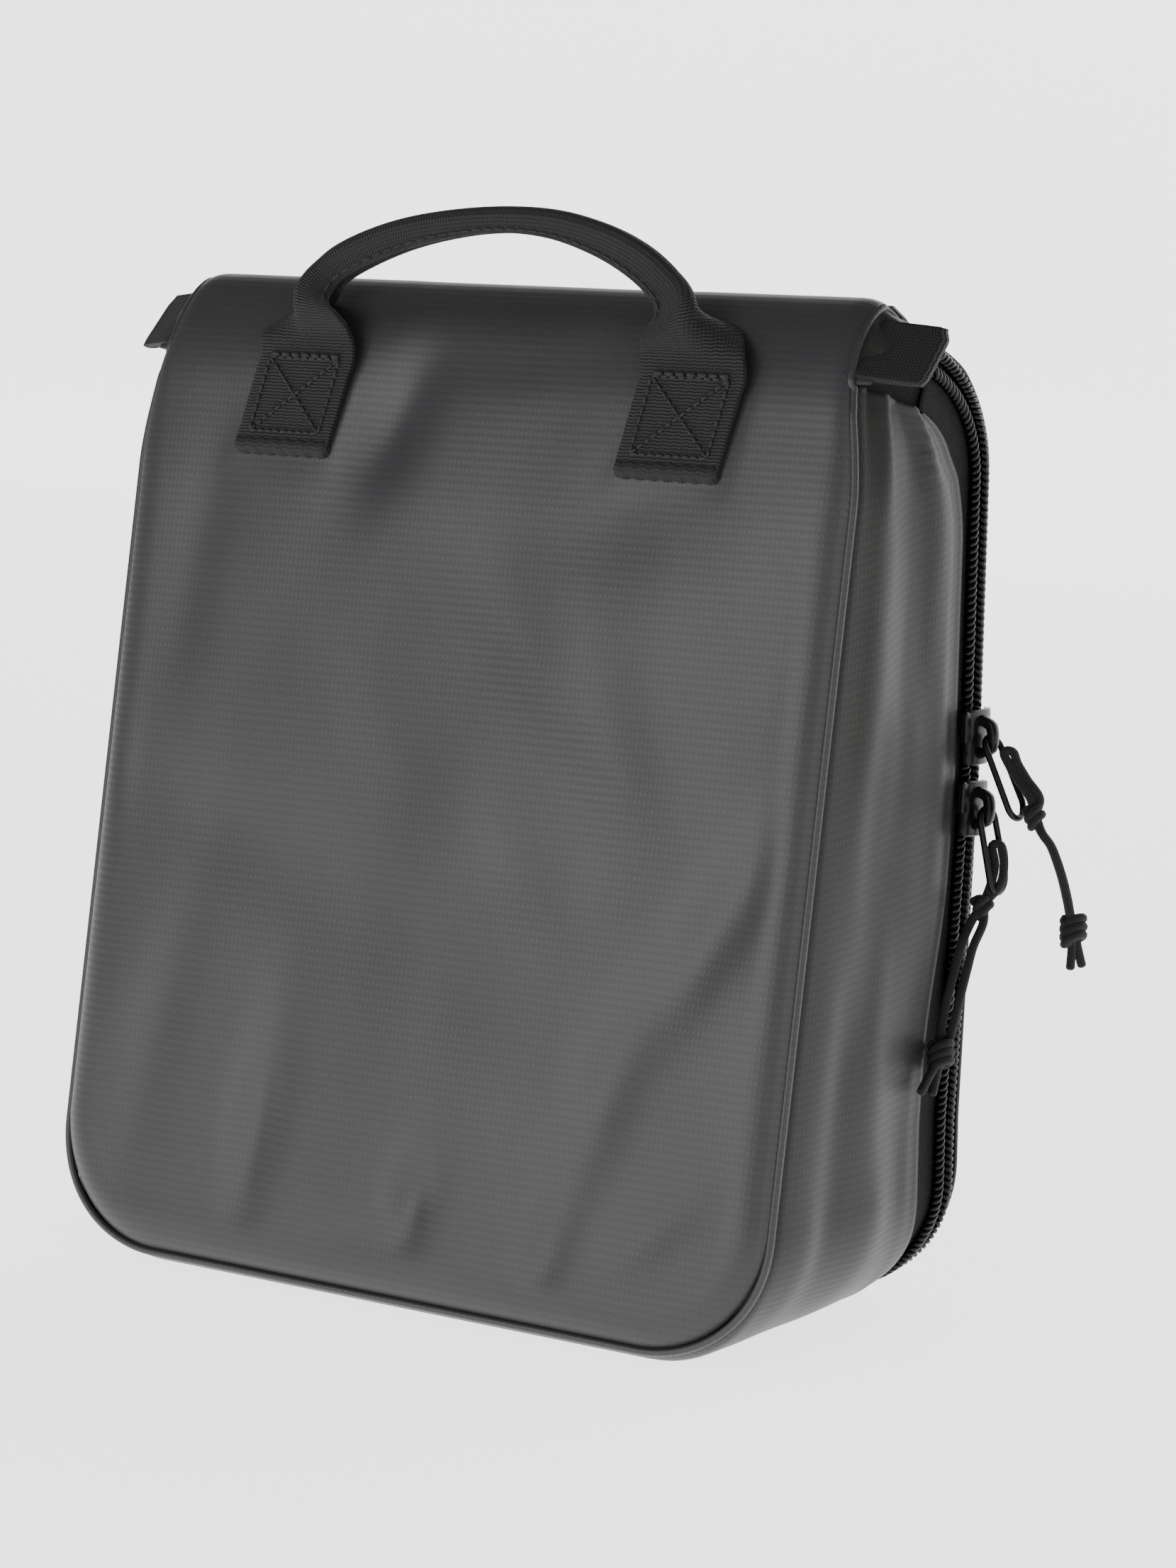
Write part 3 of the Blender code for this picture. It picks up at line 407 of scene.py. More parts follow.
def grid_mesh(name, rows, uvs=None):
    """An open surface through rows of points; without a map, its sides' lengths make one."""
    columns = len(rows[0])
    if uvs is None:
        uvs = []
        along = 0.0
        for i, row in enumerate(rows):
            across = 0.0
            if i:
                middle = columns // 2
                along += (Vector(row[middle]) - Vector(rows[i - 1][middle])).length
            line = []
            for j, point in enumerate(row):
                if j:
                    across += (Vector(point) - Vector(row[j - 1])).length
                line.append((across, along))
            uvs.append([(u - line[-1][0] / 2, v) for u, v in line])
    faces = []
    for i in range(len(rows) - 1):
        for j in range(columns - 1):
            corner = i * columns + j
            faces.append((corner, corner + 1, corner + columns + 1, corner + columns))
    flat = [pair for line in uvs for pair in line]
    return mapped_mesh(name, [point for row in rows for point in row], faces, flat)


def thickened(mesh, thickness, offset=-1.0):
    """The same sheet with a real thickness: its outer face stays, and its rims are closed."""
    holder = add_object(mesh.name, mesh)
    solidify = holder.modifiers.new("thickness", "SOLIDIFY")
    solidify.thickness = thickness
    solidify.offset = offset
    return plain_mesh(holder)


def plain_mesh(holder):
    """The object's mesh with its modifiers applied; the object itself goes."""
    graph = bpy.context.evaluated_depsgraph_get()
    graph.update()
    mesh = bpy.data.meshes.new_from_object(holder.evaluated_get(graph), preserve_all_data_layers=True,
                                           depsgraph=graph)
    mesh.name = holder.name
    bpy.data.objects.remove(holder, do_unlink=True)
    return mesh


def outward(mesh, merge=0.0):
    """The same mesh with its faces turned outwards, after points closer than merge are made one."""
    work = bmesh.new()
    work.from_mesh(mesh)
    if merge:
        bmesh.ops.remove_doubles(work, verts=work.verts, dist=merge)
    bmesh.ops.recalc_face_normals(work, faces=work.faces)
    work.to_mesh(mesh)
    work.free()
    return mesh


def loft_mesh(name, rings, closed_ends=True):
    """A closed skin through rings of points, mapped by the way round and the way along."""
    sides = len(rings[0])
    points, faces, uvs = [], [], []
    along = 0.0
    for i, ring in enumerate(rings):
        if i:
            along += (sum(ring, Vector()) / sides - sum(rings[i - 1], Vector()) / sides).length
        girth = sum((ring[k] - ring[k - 1]).length for k in range(sides))
        for k, point in enumerate(ring):
            points.append(point)
            uvs.append((girth * k / sides, along))
    for i in range(len(rings) - 1):
        for k in range(sides):
            a, b = i * sides + k, i * sides + (k + 1) % sides
            faces.append((a, b, b + sides, a + sides))
    if closed_ends:
        faces.append(tuple(range(sides - 1, -1, -1)))
        last = (len(rings) - 1) * sides
        faces.append(tuple(range(last, last + sides)))
    return outward(mapped_mesh(name, points, faces, uvs))


def joined(name, meshes):
    """Several meshes as one."""
    work = bmesh.new()
    for mesh in meshes:
        work.from_mesh(mesh)
    result = bpy.data.meshes.new(name)
    work.to_mesh(result)
    work.free()
    return result


def smooth_route(points, step):
    """Points about every step metres along a Catmull-Rom curve through the route's own points."""
    route = [Vector(point) for point in points]
    route = [2 * route[0] - route[1]] + route + [2 * route[-1] - route[-2]]
    fine = []
    for k in range(1, len(route) - 2):
        before, a, b, after = route[k - 1:k + 3]
        for n in range(24):
            t = n / 24
            fine.append(0.5 * (2 * a + (b - before) * t + (2 * before - 5 * a + 4 * b - after) * t * t
                               + (3 * a - before - 3 * b + after) * t ** 3))
    fine.append(route[-2])
    return spaced(fine, step)


def spaced(points, step):
    """The same line with evenly spaced points."""
    lengths = [0.0]
    for a, b in zip(points, points[1:]):
        lengths.append(lengths[-1] + (Vector(b) - Vector(a)).length)
    count = max(2, round(lengths[-1] / step))
    result, k = [], 0
    for n in range(count + 1):
        goal = lengths[-1] * n / count
        while k < len(points) - 2 and lengths[k + 1] < goal:
            k += 1
        share = (goal - lengths[k]) / max(1e-9, lengths[k + 1] - lengths[k])
        result.append(Vector(points[k]).lerp(Vector(points[k + 1]), min(1.0, share)))
    return result


def tube_rings(path, radius, sides, closed):
    """Rings along a path, turned as little as possible; the ends are rounded when the path is open."""
    count = len(path)
    tangents = []
    for i in range(count):
        before, after = (path[i - 1], path[(i + 1) % count]) if closed else beside(path, i)
        tangents.append((after - before).normalized())
    side = tangents[0].orthogonal().normalized()
    rings = []

    def ring(center, side_way, tangent, size):
        other = tangent.cross(side_way)
        return [center + side_way * (size * math.cos(2 * math.pi * k / sides))
                + other * (size * math.sin(2 * math.pi * k / sides)) for k in range(sides)]

    for i, (point, tangent) in enumerate(zip(path, tangents)):
        side = (side - tangent * side.dot(tangent)).normalized()
        if i == 0 and not closed:
            for turn in (0.15, 0.5, 0.85):
                rings.append(ring(point - tangent * radius * 0.6 * (1 - turn ** 2) ** 0.5, side, tangent,
                                  radius * turn))
        rings.append(ring(point, side, tangent, radius))
    if not closed:
        for turn in (0.85, 0.5, 0.15):
            rings.append(ring(path[-1] + tangents[-1] * radius * 0.6 * (1 - turn ** 2) ** 0.5, side, tangents[-1],
                              radius * turn))
    else:
        first, last = rings[0], rings[-1]
        start = min(range(sides), key=lambda k: (last[0] - first[k]).length)
        rings.append([first[(k + start) % sides] for k in range(sides)])
    return rings


def tube_mesh(name, path, radius, sides=14, closed=False):
    """A round tube along a path, closed at its ends or into a ring."""
    mesh = loft_mesh(name, tube_rings(path, radius, sides, closed), closed_ends=not closed)
    return outward(mesh, merge=1e-6) if closed else mesh


# Geometry Nodes: one small element repeated at marked places

class Repeat:
    """A node tree that puts one element at every point, turned by the point's own two directions."""

    def __init__(self, name, element, sizes):
        self.tree = bpy.data.node_groups.new(name, "GeometryNodeTree")
        face = self.tree.interface
        face.new_socket("Points", in_out="INPUT", socket_type="NodeSocketGeometry")
        self.sizes = {}
        for label in sizes:
            self.sizes[label] = face.new_socket(label, in_out="INPUT", socket_type="NodeSocketFloat")
        self.finish_socket = face.new_socket("Finish", in_out="INPUT", socket_type="NodeSocketMaterial")
        face.new_socket("Result", in_out="OUTPUT", socket_type="NodeSocketGeometry")
        self.given = self.node("NodeGroupInput").outputs
        places = self.given["Points"]
        turn = None
        for axis, label in (("X", "ahead"), ("Z", "out")):
            vector = self.node("GeometryNodeInputNamedAttribute", {"data_type": "FLOAT_VECTOR"}, {"Name": label})
            settings = {"axis": axis, "pivot_axis": "AUTO" if axis == "X" else "X"}
            sockets = {"Vector": vector.outputs["Attribute"]}
            if turn:
                sockets["Rotation"] = turn
            turn = self.node("FunctionNodeAlignRotationToVector", settings, sockets).outputs["Rotation"]
        placed = self.node("GeometryNodeInstanceOnPoints", None,
                           {"Points": places, "Instance": element(self), "Rotation": turn})
        real = self.node("GeometryNodeRealizeInstances", None, {"Geometry": placed.outputs["Instances"]})
        smooth = self.node("GeometryNodeSetShadeSmooth", None, {"Geometry": real.outputs["Geometry"]})
        dressed = self.node("GeometryNodeSetMaterial", None,
                            {"Geometry": smooth.outputs["Geometry"], "Material": self.given["Finish"]})
        self.node("NodeGroupOutput", None, {"Result": dressed.outputs["Geometry"]})

    def node(self, kind, settings=None, sockets=None):
        return add_node(self.tree, kind, settings, sockets)

    def at(self, name, marks, slot, **sizes):
        """A plain mesh with the element at every mark: a point, the way ahead and the way out."""
        mesh = bpy.data.meshes.new(name)
        mesh.from_pydata([mark[0] for mark in marks], [], [])
        for k, label in ((1, "ahead"), (2, "out")):
            attribute = mesh.attributes.new(label, "FLOAT_VECTOR", "POINT")
            for item, mark in zip(attribute.data, marks):
                item.vector = mark[k]
        holder = add_object(name, mesh)
        modifier = holder.modifiers.new("repeat", "NODES")
        modifier.node_group = self.tree
        for label, value in sizes.items():
            modifier[self.sizes[label].identifier] = value
        modifier[self.finish_socket.identifier] = FINISHES[slot]
        result = plain_mesh(holder)
        layer = result.uv_layers.get("cloth") or result.uv_layers.new(name="cloth")
        for loop in result.loops:
            place = result.vertices[loop.vertex_index].co
            layer.data[loop.index].uv = (place.x + place.y, place.z)
        return result


def coil_turn(tree):
    """One turn of a zip coil: a flattened loop of nylon wire, slanting as the coil climbs."""
    loop = tree.node("GeometryNodeCurvePrimitiveCircle", None, {"Resolution": 12, "Radius": 0.5})
    scale = tree.node("ShaderNodeCombineXYZ", None,
                      {"X": tree.given["Height"], "Y": tree.given["Width"], "Z": 1.0})
    placed = tree.node("GeometryNodeTransform", None,
                       {"Geometry": loop.outputs["Curve"], "Scale": scale.outputs["Vector"],
                        "Rotation": (0.0, math.pi / 2, 0.0)})
    twist = tree.node("ShaderNodeCombineXYZ", None, {"X": 0.0, "Y": 0.0, "Z": tree.given["Slant"]})
    turned = tree.node("GeometryNodeTransform", None,
                       {"Geometry": placed.outputs["Geometry"], "Rotation": twist.outputs["Vector"]})
    half = tree.node("ShaderNodeMath", {"operation": "MULTIPLY"}, {0: tree.given["Wire"], 1: 0.5})
    wire = tree.node("GeometryNodeCurvePrimitiveCircle", None,
                     {"Resolution": 6, "Radius": half.outputs["Value"]})
    skin = tree.node("GeometryNodeCurveToMesh", None,
                     {"Curve": turned.outputs["Geometry"], "Profile Curve": wire.outputs["Curve"]})
    return skin.outputs["Mesh"]


def stitch_bead(tree):
    """One stitch: a short thread that dips into the cloth at both ends."""
    ball = tree.node("GeometryNodeMeshUVSphere", None, {"Segments": 8, "Rings": 6, "Radius": 0.5})
    scale = tree.node("ShaderNodeCombineXYZ", None,
                      {"X": tree.given["Length"], "Y": tree.given["Width"], "Z": tree.given["Height"]})
    placed = tree.node("GeometryNodeTransform", None,
                       {"Geometry": ball.outputs["Mesh"], "Scale": scale.outputs["Vector"]})
    return placed.outputs["Geometry"]


COIL = Repeat("coil", coil_turn, ("Width", "Height", "Wire", "Slant"))
STITCH = Repeat("stitch", stitch_bead, ("Length", "Width", "Height"))


def marks_along(path, step, out):
    """Marks at the middle of every step along a path; out is one direction or one for each point."""
    fine = spaced(path, step)
    marks = []
    for k in range(len(fine) - 1):
        ahead = (fine[k + 1] - fine[k]).normalized()
        outward_way = out if isinstance(out, Vector) else out(k / len(fine))
        marks.append((fine[k].lerp(fine[k + 1], 0.5), ahead, outward_way))
    return marks


# The bag's shape, as functions of the height or of the place along the zip

def bezier(a, b, c, d, count):
    """Points after a along the curve from a to d, which b and c pull on."""
    points = []
    for n in range(1, count + 1):
        t = n / count
        weights = ((1 - t) ** 3, 3 * t * (1 - t) ** 2, 3 * t * t * (1 - t), t ** 3)
        points.append(tuple(sum(w * p[k] for w, p in zip(weights, (a, b, c, d))) for k in range(2)))
    return points


def front_y(z):
    """Where the sloping front stands at this height."""
    return FRONT_FOOT + FRONT_LEAN * (z - FRONT_LIFT)


def zip_y(z):
    """Where the zip's centre line stands at this height, on its straight stretches."""
    if z <= ZIP_LOW[1]:
        return ZIP_LOW[0]
    low, high = (ZIP_LOW, ZIP_BEND) if z <= ZIP_BEND[1] else (ZIP_BEND, ZIP_HIGH)
    return low[0] + (high[0] - low[0]) * (z - low[1]) / (high[1] - low[1])


def back_y(z):
    low_share = min(1.0, max(0.0, (ZIP_BEND[1] - z) / (ZIP_BEND[1] - ZIP_LOW[1])))
    return zip_y(z) + COVER_EDGE_HIGH + (COVER_EDGE_LOW - COVER_EDGE_HIGH) * low_share


CROWN = bezier((front_y(CROWN_START), CROWN_START), (front_y(0.243), 0.243),
               (0.0075, CREST[1]), CREST, 18) + bezier(CREST, (0.0185, CREST[1]), (0.0215, 0.2537), HINGE, 8)
COVER_TOP = bezier(HINGE, (0.0340, 0.2475), (0.0602, 0.2345), (back_y(ZIP_HIGH[1]), ZIP_HIGH[1]), 26)


def seam_y(z):
    """Where the front seam stands, up round the roll."""
    for (y_low, low), (y_high, high) in zip(CROWN, CROWN[1:]):
        if low <= z <= high:
            return y_low + (y_high - y_low) * (z - low) / (high - low) + GAP
    return front_y(z)


def eased(value, low, high):
    """0 below low and 1 above high, with a soft change between."""
    t = min(1.0, max(0.0, (value - low) / (high - low)))
    return t * t * (3 - 2 * t)


def half_at(side, z):
    """Half the panel's width: the front draws in towards the crown, and the cover beside the hinge."""
    if side < 0:
        return HALF - 0.0056 * eased(z, 0.206, 0.250)
    return HALF + 0.0010 - 0.0066 * eased(z, 0.238, HINGE[1])


def edge_distance(side, x, z, height):
    """How far a point of a panel is from its rounded outline; height is over the panel's lower edge."""
    half = half_at(side, z)
    if height < CORNER and abs(x) > half - CORNER:
        return CORNER - math.hypot(abs(x) - (half - CORNER), CORNER - height)
    return min(half - abs(x), height)


def dent(x, z, spot):
    """A long soft hollow: its middle, half length, half width, turn in degrees and depth in mm."""
    middle_x, middle_z, half_long, half_wide, turn, depth = spot
    c, s = math.cos(math.radians(turn)), math.sin(math.radians(turn))
    dx, dz = x / MM - middle_x, z / MM - middle_z
    along, across = (dx * c + dz * s) / half_long, (dz * c - dx * s) / half_wide
    return -depth * MM * math.exp(-(along * along + across * across))


def back_bulge(x, z):
    """How far the stiffened back swells in the middle."""
    return BACK_BULGE * max(0.0, math.sin(math.pi * z / HINGE[1])) * (1 - (x / HALF) ** 2)


def panel_levels(side):
    """Fine places up a panel's middle line: y, z, half width, height over its lower edge."""
    lift, y_at = (FRONT_LIFT, front_y) if side < 0 else (ZIP_LIFT, back_y)
    levels = []
    for n in range(33):
        angle = math.pi / 2 * n / 32
        height = CORNER * (1 - math.cos(angle))
        levels.append((y_at(lift + height), lift + height,
                       half_at(side, 0.0) - CORNER + CORNER * math.sin(angle)))
    end = CROWN_START if side < 0 else ZIP_HIGH[1]
    start = lift + CORNER
    count = round((end - start) / 0.0024)
    for n in range(1, count + 1):
        z = start + (end - start) * n / count
        levels.append((y_at(z), z, half_at(side, z)))
    top = CROWN if side < 0 else list(reversed(COVER_TOP))[1:] + [HINGE]
    return levels + [(y, z, half_at(side, z if y < CREST[0] or side > 0 else CREST[1])) for y, z in top], lift


def panel_mesh(name, side, depth=0.0, inset=0.0, relief=None, low=None, high=None, top_inset=0.0, columns=120,
               thickness=CLOTH):
    """The front panel (side -1) or the cover (side 1), or a layer that lies depth further in."""
    levels, lift = panel_levels(side)
    rows, uvs, along = [], [], 0.0
    end_y = HINGE[0] + side * (GAP / 2 + top_inset)
    last_height = 0.0
    for i, (y, z, half) in enumerate(levels):
        behind, ahead = beside(levels, i)
        dy, dz = ahead[0] - behind[0], ahead[1] - behind[1]
        size = math.hypot(dy, dz)
        out_y, out_z = side * dz / size, -side * dy / size
        if i:
            along += math.hypot(y - levels[i - 1][0], z - levels[i - 1][1])
        height = z - lift
        if inset:
            if height < inset:
                continue
            if height < CORNER:
                half = HALF - CORNER + math.sqrt(max(0.0, (CORNER - inset) ** 2 - (CORNER - height) ** 2))
            else:
                half -= inset
        if (low and z < low) or (high and z > high):
            continue
        row, line = [], []
        for n in range(columns + 1):
            t = side * (1 - 2 * n / columns)
            across = 0.3 * t + 0.7 * math.sin(math.pi / 2 * t)
            x = half * across
            o = (back_bulge(x, z) if side > 0 else 0.0) - depth
            if relief:
                o += relief(x, z, height)
            row.append((x, y + out_y * o, z + out_z * o))
            line.append((x, along))
        if side * (row[len(row) // 2][1] - end_y) < 0 and z > 0.2:
            row = [(p[0], end_y if side * (p[1] - end_y) < 0 else p[1], p[2]) for p in row]
            rows.append(row)
            uvs.append(line)
            break
        rows.append(row)
        uvs.append(line)
    return thickened(grid_mesh(name, rows, uvs), thickness)


FRONT_DENTS = (
    (-27, 221, 20, 10, 66, 3.2), (24, 168, 34, 11, -48, 1.5), (52, 150, 26, 10, -62, 1.1),
    (-62, 112, 42, 12, -28, 1.6), (-8, 96, 44, 13, -38, 1.6), (-44, 42, 24, 7.5, 84, 2.2),
    (8, 30, 11, 6.5, 82, 2.6), (50, 24, 15, 6, 76, 1.2), (62, 64, 26, 8.5, 74, 1.7),
    (88, 106, 27, 8.5, 62, 2.1), (-80, 62, 36, 9, 80, 1.0), (44, 200, 30, 14, 12, 1.0),
    (-84, 190, 30, 9, 84, 1.0), (0, 236, 40, 8, 4, 0.8), (-22, 150, 28, 10, -50, 0.9),
    (80, 34, 16, 7, 40, 1.0), (-14, 14, 22, 6, 10, 0.9), (30, 112, 16, 8, -44, 0.9))


def front_relief(x, z, height):
    """Rolled edges, a slight swell and the soft hollows of the front."""
    distance = edge_distance(-1, x, z, height)
    top = eased(z, 0.200, 0.236)
    roll = 0.0120 - 0.0050 * top
    face = 0.0022 - 0.0014 * top
    drop = 0.0027 - 0.0010 * top
    share = min(1.0, max(0.0, distance / roll))
    offset = -drop + (face + drop) * (1 - (1 - share) ** 2.6) ** 0.72
    swell = 0.0016 * math.sin(math.pi * min(1.0, z / 0.21)) * (1 - (x / HALF) ** 2) * (1 - top)
    return offset + front_hollows(x, z, height) + swell


def front_hollows(x, z, height):
    """The soft hollows of the front, calm under the handle's ends and at the edges."""
    distance = edge_distance(-1, x, z, height)
    calm = eased(distance, 0.002, 0.016) * (1 - 0.75 * eased(z, 0.238, 0.252))
    patch = 1.0
    for foot, head in PATCHES.values():
        middle = foot + (head - foot) * (z - PATCH_FOOT) / (PATCH_TOP - PATCH_FOOT)
        near = 1 - eased(abs(x - middle), 0.013, 0.021)
        patch = min(patch, 1 - near * eased(z, 0.204, 0.212))
    hollows = sum(dent(x, z, spot) for spot in FRONT_DENTS)
    broad = noise.noise(Vector((x * 17, z * 13, 3.1))) * 0.0011 + noise.noise(Vector((x * 46, z * 30, 7.7))) * 0.0003
    return calm * patch * (hollows + broad)


def back_relief(x, z, height):
    """The cover's rolled edge, with a few broad hollows."""
    share = min(1.0, max(0.0, edge_distance(1, x, z, height) / 0.0070))
    crown = eased(z, 0.222, 0.250)
    offset = -0.0024 * (1 - 0.6 * crown) + 0.0034 * (1 - 0.8 * crown) * math.sqrt(max(0.0, 1 - (1 - share) ** 2))
    return offset + back_hollows(x, z, height)


def back_hollows(x, z, height):
    """The broad soft hollows of the back, calm at its edges."""
    distance = edge_distance(1, x, z, height)
    crown = eased(z, 0.222, 0.250)
    calm = eased(distance, 0.002, 0.018) * (1 - crown)
    folds = (noise.noise(Vector((x * 15, z * 11, 11.3))) * 0.0030
             + noise.noise(Vector((x * 40, z * 17, 2.9))) * 0.0008)
    pinch = dent(x, z, (-58, 40, 26, 9, 62, 2.0)) + dent(x, z, (66, 46, 24, 8, -64, 1.8))
    pinch += dent(x, z, (4, 24, 14, 8, 84, 1.6)) + dent(x, z, (-20, 190, 46, 12, 8, 1.6))
    return calm * (folds + pinch)


def inner_relief(side, seed, size):
    """Slight unevenness of a lining, always towards the room inside, and behind the outer cloth's hollows."""
    hollows = front_hollows if side < 0 else back_hollows

    def relief(x, z, height):
        lump = noise.noise(Vector((x * 38 + seed, z * 30, seed)))
        return min(0.0, hollows(x, z, height)) - size * (0.5 + 0.5 * lump)
    return relief


# Places round the zip, from the right tab down, along the bottom and up to the left tab

def side_places():
    """Down the right side: the zip's point and the front seam's point, in (y, z)."""
    curl = list(reversed(bezier(ZIP_HIGH, (0.0530, 0.2250), (0.0440, 0.2350), ZIP_END, 21)))
    places = []
    for n, (y, z) in enumerate(curl):
        front_z = SEAM_TOP - (SEAM_TOP - 0.200) * n / len(curl)
        places.append((y, z, seam_y(front_z), front_z))
    places.append((*ZIP_HIGH, front_y(0.200), 0.200))
    low = ZIP_LOW[1]
    for n in range(1, 55):
        share = n / 54
        zip_z = ZIP_HIGH[1] + (low - ZIP_HIGH[1]) * share
        front_z = 0.200 + (low - 0.200) * share
        places.append((zip_y(zip_z), zip_z, front_y(front_z), front_z))
    for n in range(1, 7):
        z = low + (CORNER - low) * n / 7
        places.append((zip_y(z), z, front_y(z), z))
    return places


def all_places():
    """Every place round the zip: its x, the way out in (x, z), and the zip's and the seam's points."""
    right = []
    for zip_here, zip_z, seam_here, seam_z in side_places():
        right.append({"x": HALF, "out": (1.0, 0.0), "zip": (zip_here, zip_z), "seam": (seam_here, seam_z)})
    for n in range(25):
        angle = math.pi / 2 * n / 24
        z = CORNER * (1 - math.sin(angle))
        right.append({"x": HALF - CORNER * (1 - math.cos(angle)), "out": (math.cos(angle), -math.sin(angle)),
                      "zip": (zip_y(z), z), "seam": (front_y(z + FRONT_LIFT * math.sin(angle)), z)})
    for n in range(1, 31):
        x = (HALF - CORNER) * (1 - n / 30)
        right.append({"x": x, "out": (0.0, -1.0), "zip": (zip_y(0.0), 0.0), "seam": (FRONT_FOOT, 0.0)})
    left = []
    for place in reversed(right[:-1]):
        left.append({"x": -place["x"], "out": (-place["out"][0], place["out"][1]),
                     "zip": place["zip"], "seam": place["seam"]})
    return right + left


PLACES = all_places()


def zip_sideways(index):
    """The direction across the zip towards the front, in (y, z)."""
    here = PLACES[index]
    if here["out"][1] < -0.01:
        return (-1.0, 0.0)
    behind, ahead = (place["zip"] for place in beside(PLACES, index))
    dy, dz = ahead[0] - behind[0], ahead[1] - behind[1]
    if here["x"] < 0:
        dy, dz = -dy, -dz
    size = math.hypot(dy, dz)
    return (-1.0, 0.0) if size < 1e-9 else (dz / size, -dy / size)


def lifted(place, y, z, depth):
    """A point of the band at a place, depth under its surface, raised where the band's edges roll off the ground."""
    down = max(0.0, -place["out"][1])
    from_front = min(1.0, max(0.0, 1 - (y - FRONT_FOOT) / FRONT_ROLL))
    from_zip = min(1.0, max(0.0, 1 - (ZIP_LOW[0] - y) / ZIP_ROLL))
    lift = down * (FRONT_LIFT * from_front + ZIP_LIFT * from_zip)
    return Vector((place["x"] - place["out"][0] * depth, y, z - place["out"][1] * depth + lift))


def zip_point(index, across, depth):
    """A point beside the zip's centre line; across is positive towards the front."""
    side_y, side_z = zip_sideways(index)
    here = PLACES[index]
    return lifted(here, here["zip"][0] + side_y * across, here["zip"][1] + side_z * across, depth)


def zip_band(name, near, far, depth, thickness, samples=7):
    """A strip beside the zip, all the way round; near and far may be functions of the place."""
    rows = []
    for index in range(len(PLACES)):
        end = far(index) if callable(far) else far
        start = near(index) if callable(near) else near
        rows.append([zip_point(index, start + (end - start) * n / samples, depth) for n in range(samples + 1)])
    return thickened(grid_mesh(name, rows), thickness)


def cover_gap(index):
    """How far the cover's tape reaches back from the zip's centre line."""
    here = Vector(PLACES[index]["zip"])
    if here.y <= ZIP_HIGH[1]:
        return back_y(here.y) - zip_y(here.y) - CLOTH - GAP
    return min((Vector(point) - here).length for point in [HINGE] + COVER_TOP) - CLOTH - 2 * GAP


def cloth_edge(index):
    """How far the gusset's cloth stops from the zip's centre line: the tape shows more low down and at the top."""
    place = PLACES[index]
    if place["out"][1] < -0.01:
        return 0.0085 + 0.0040 * (1 - eased(-place["out"][1], 0.0, 0.7))
    z = place["zip"][1]
    return 0.0070 + 0.0055 * (1 - eased(z, 0.066, 0.112)) + 0.0062 * eased(z, 0.196, 0.226)


def tucked(z, share, upright):
    """How far the gusset draws in behind the front panel's narrowed top; share runs from the seam to the zip."""
    return (HALF - half_at(-1, z)) * (1 - share) * upright


def gusset_mesh():
    """The gusset's cloth, rising out of the front seam, with a turned edge at the zip and soft upright folds."""
    # Both edges in mm: how far along the cloth, and how far out
    front = [(0.9, -3.2), (0.2, -2.6), (0.0, -1.9), (0.2, -1.3), (0.7, -0.85), (1.5, -0.5), (2.4, -0.28), (3.4, -0.12)]
    back = [(3.6, 0.10), (2.4, 0.25), (1.3, 0.25), (0.5, 0.0), (0.1, -0.4), (0.15, -0.80), (0.9, -0.9)]
    rows = []
    along = 0.0
    for index, place in enumerate(PLACES):
        side_y, side_z = zip_sideways(index)
        inset = cloth_edge(index)
        edge = Vector((place["zip"][0] + side_y * inset, place["zip"][1] + side_z * inset))
        down = max(0.0, -place["out"][1])
        recess = 0.0046 * (1 - down) + 0.0026 * down
        seam = Vector((place["seam"][0] + recess, place["seam"][1]))
        length = (edge - seam).length
        way = (edge - seam) / length
        if index:
            along += (zip_point(index, 0, 0) - zip_point(index - 1, 0, 0)).length
        upright = 1 - down
        top = eased(place["zip"][1], 0.205, 0.235)
        row = []
        for run, out in front:
            y, z = seam + way * run * MM
            row.append(lifted(place, y, z, tucked(z, 0.0, upright) - out * MM * (0.4 + 0.6 * upright)))
        middle_count = 26
        for n in range(1, middle_count):
            t = n / middle_count
            run = 0.0034 + (length - 0.0070) * t
            y, z = seam + way * run
            height = place["zip"][1]
            bulge = 0.0016 * math.sin(math.pi * t) ** 0.7
            fold = 0.0006 * math.sin(2 * math.pi * (1.55 * t + 0.12 * math.sin(height * 26) + 0.2))
            fold += noise.noise(Vector((t * 2.6, height * 16, 5.0 if place["x"] > 0 else 9.0))) * 0.0020
            fold += noise.noise(Vector((t * 7, height * 34, 1.5))) * 0.0005
            pucker = 0.0002 * math.sin(along * 900) * top * math.exp(-((t - 0.85) / 0.2) ** 2)
            fade = eased(t, 0.0, 0.30) * (1 - eased(t, 0.88, 1.0))
            offset = (bulge + fade * (fold + pucker)) * upright - 0.00012 * (1 - t) + 0.0001 * t
            row.append(lifted(place, y, z, tucked(z, t, upright) - offset))
        for run, out in back:
            y, z = seam + way * (length - run * MM)
            row.append(lifted(place, y, z, -out * MM * (0.5 + 0.5 * upright)))
        rows.append(row)
    return thickened(grid_mesh("gusset_cloth", rows), 0.0006)


def edge_fold():
    """The narrow fold of cloth that stands up along the front panel's edge."""
    path = []
    for place in PLACES:
        down = max(0.0, -place["out"][1])
        y = place["seam"][0] + 0.0024 * (1 - down) + 0.0016 * down
        inward = 0.0002 + (HALF - half_at(-1, place["seam"][1])) * (1 - down)
        path.append(lifted(place, y, place["seam"][1], inward))
    over = []
    for y, z in CROWN:
        if z > path[0].z + 0.001 and y < CREST[0]:
            over.append((half_at(-1, z) - 0.0003, y + 0.0012, z - 0.0012))
    path = [Vector(p) for p in reversed(over)] + path + [Vector((-x, y, z)) for x, y, z in over]
    mesh = tube_mesh("edge_fold", smooth_route(path, 0.0016), 0.00105, 10)
    new_piece("edge_fold", mesh, "shell_fabric", "shell")


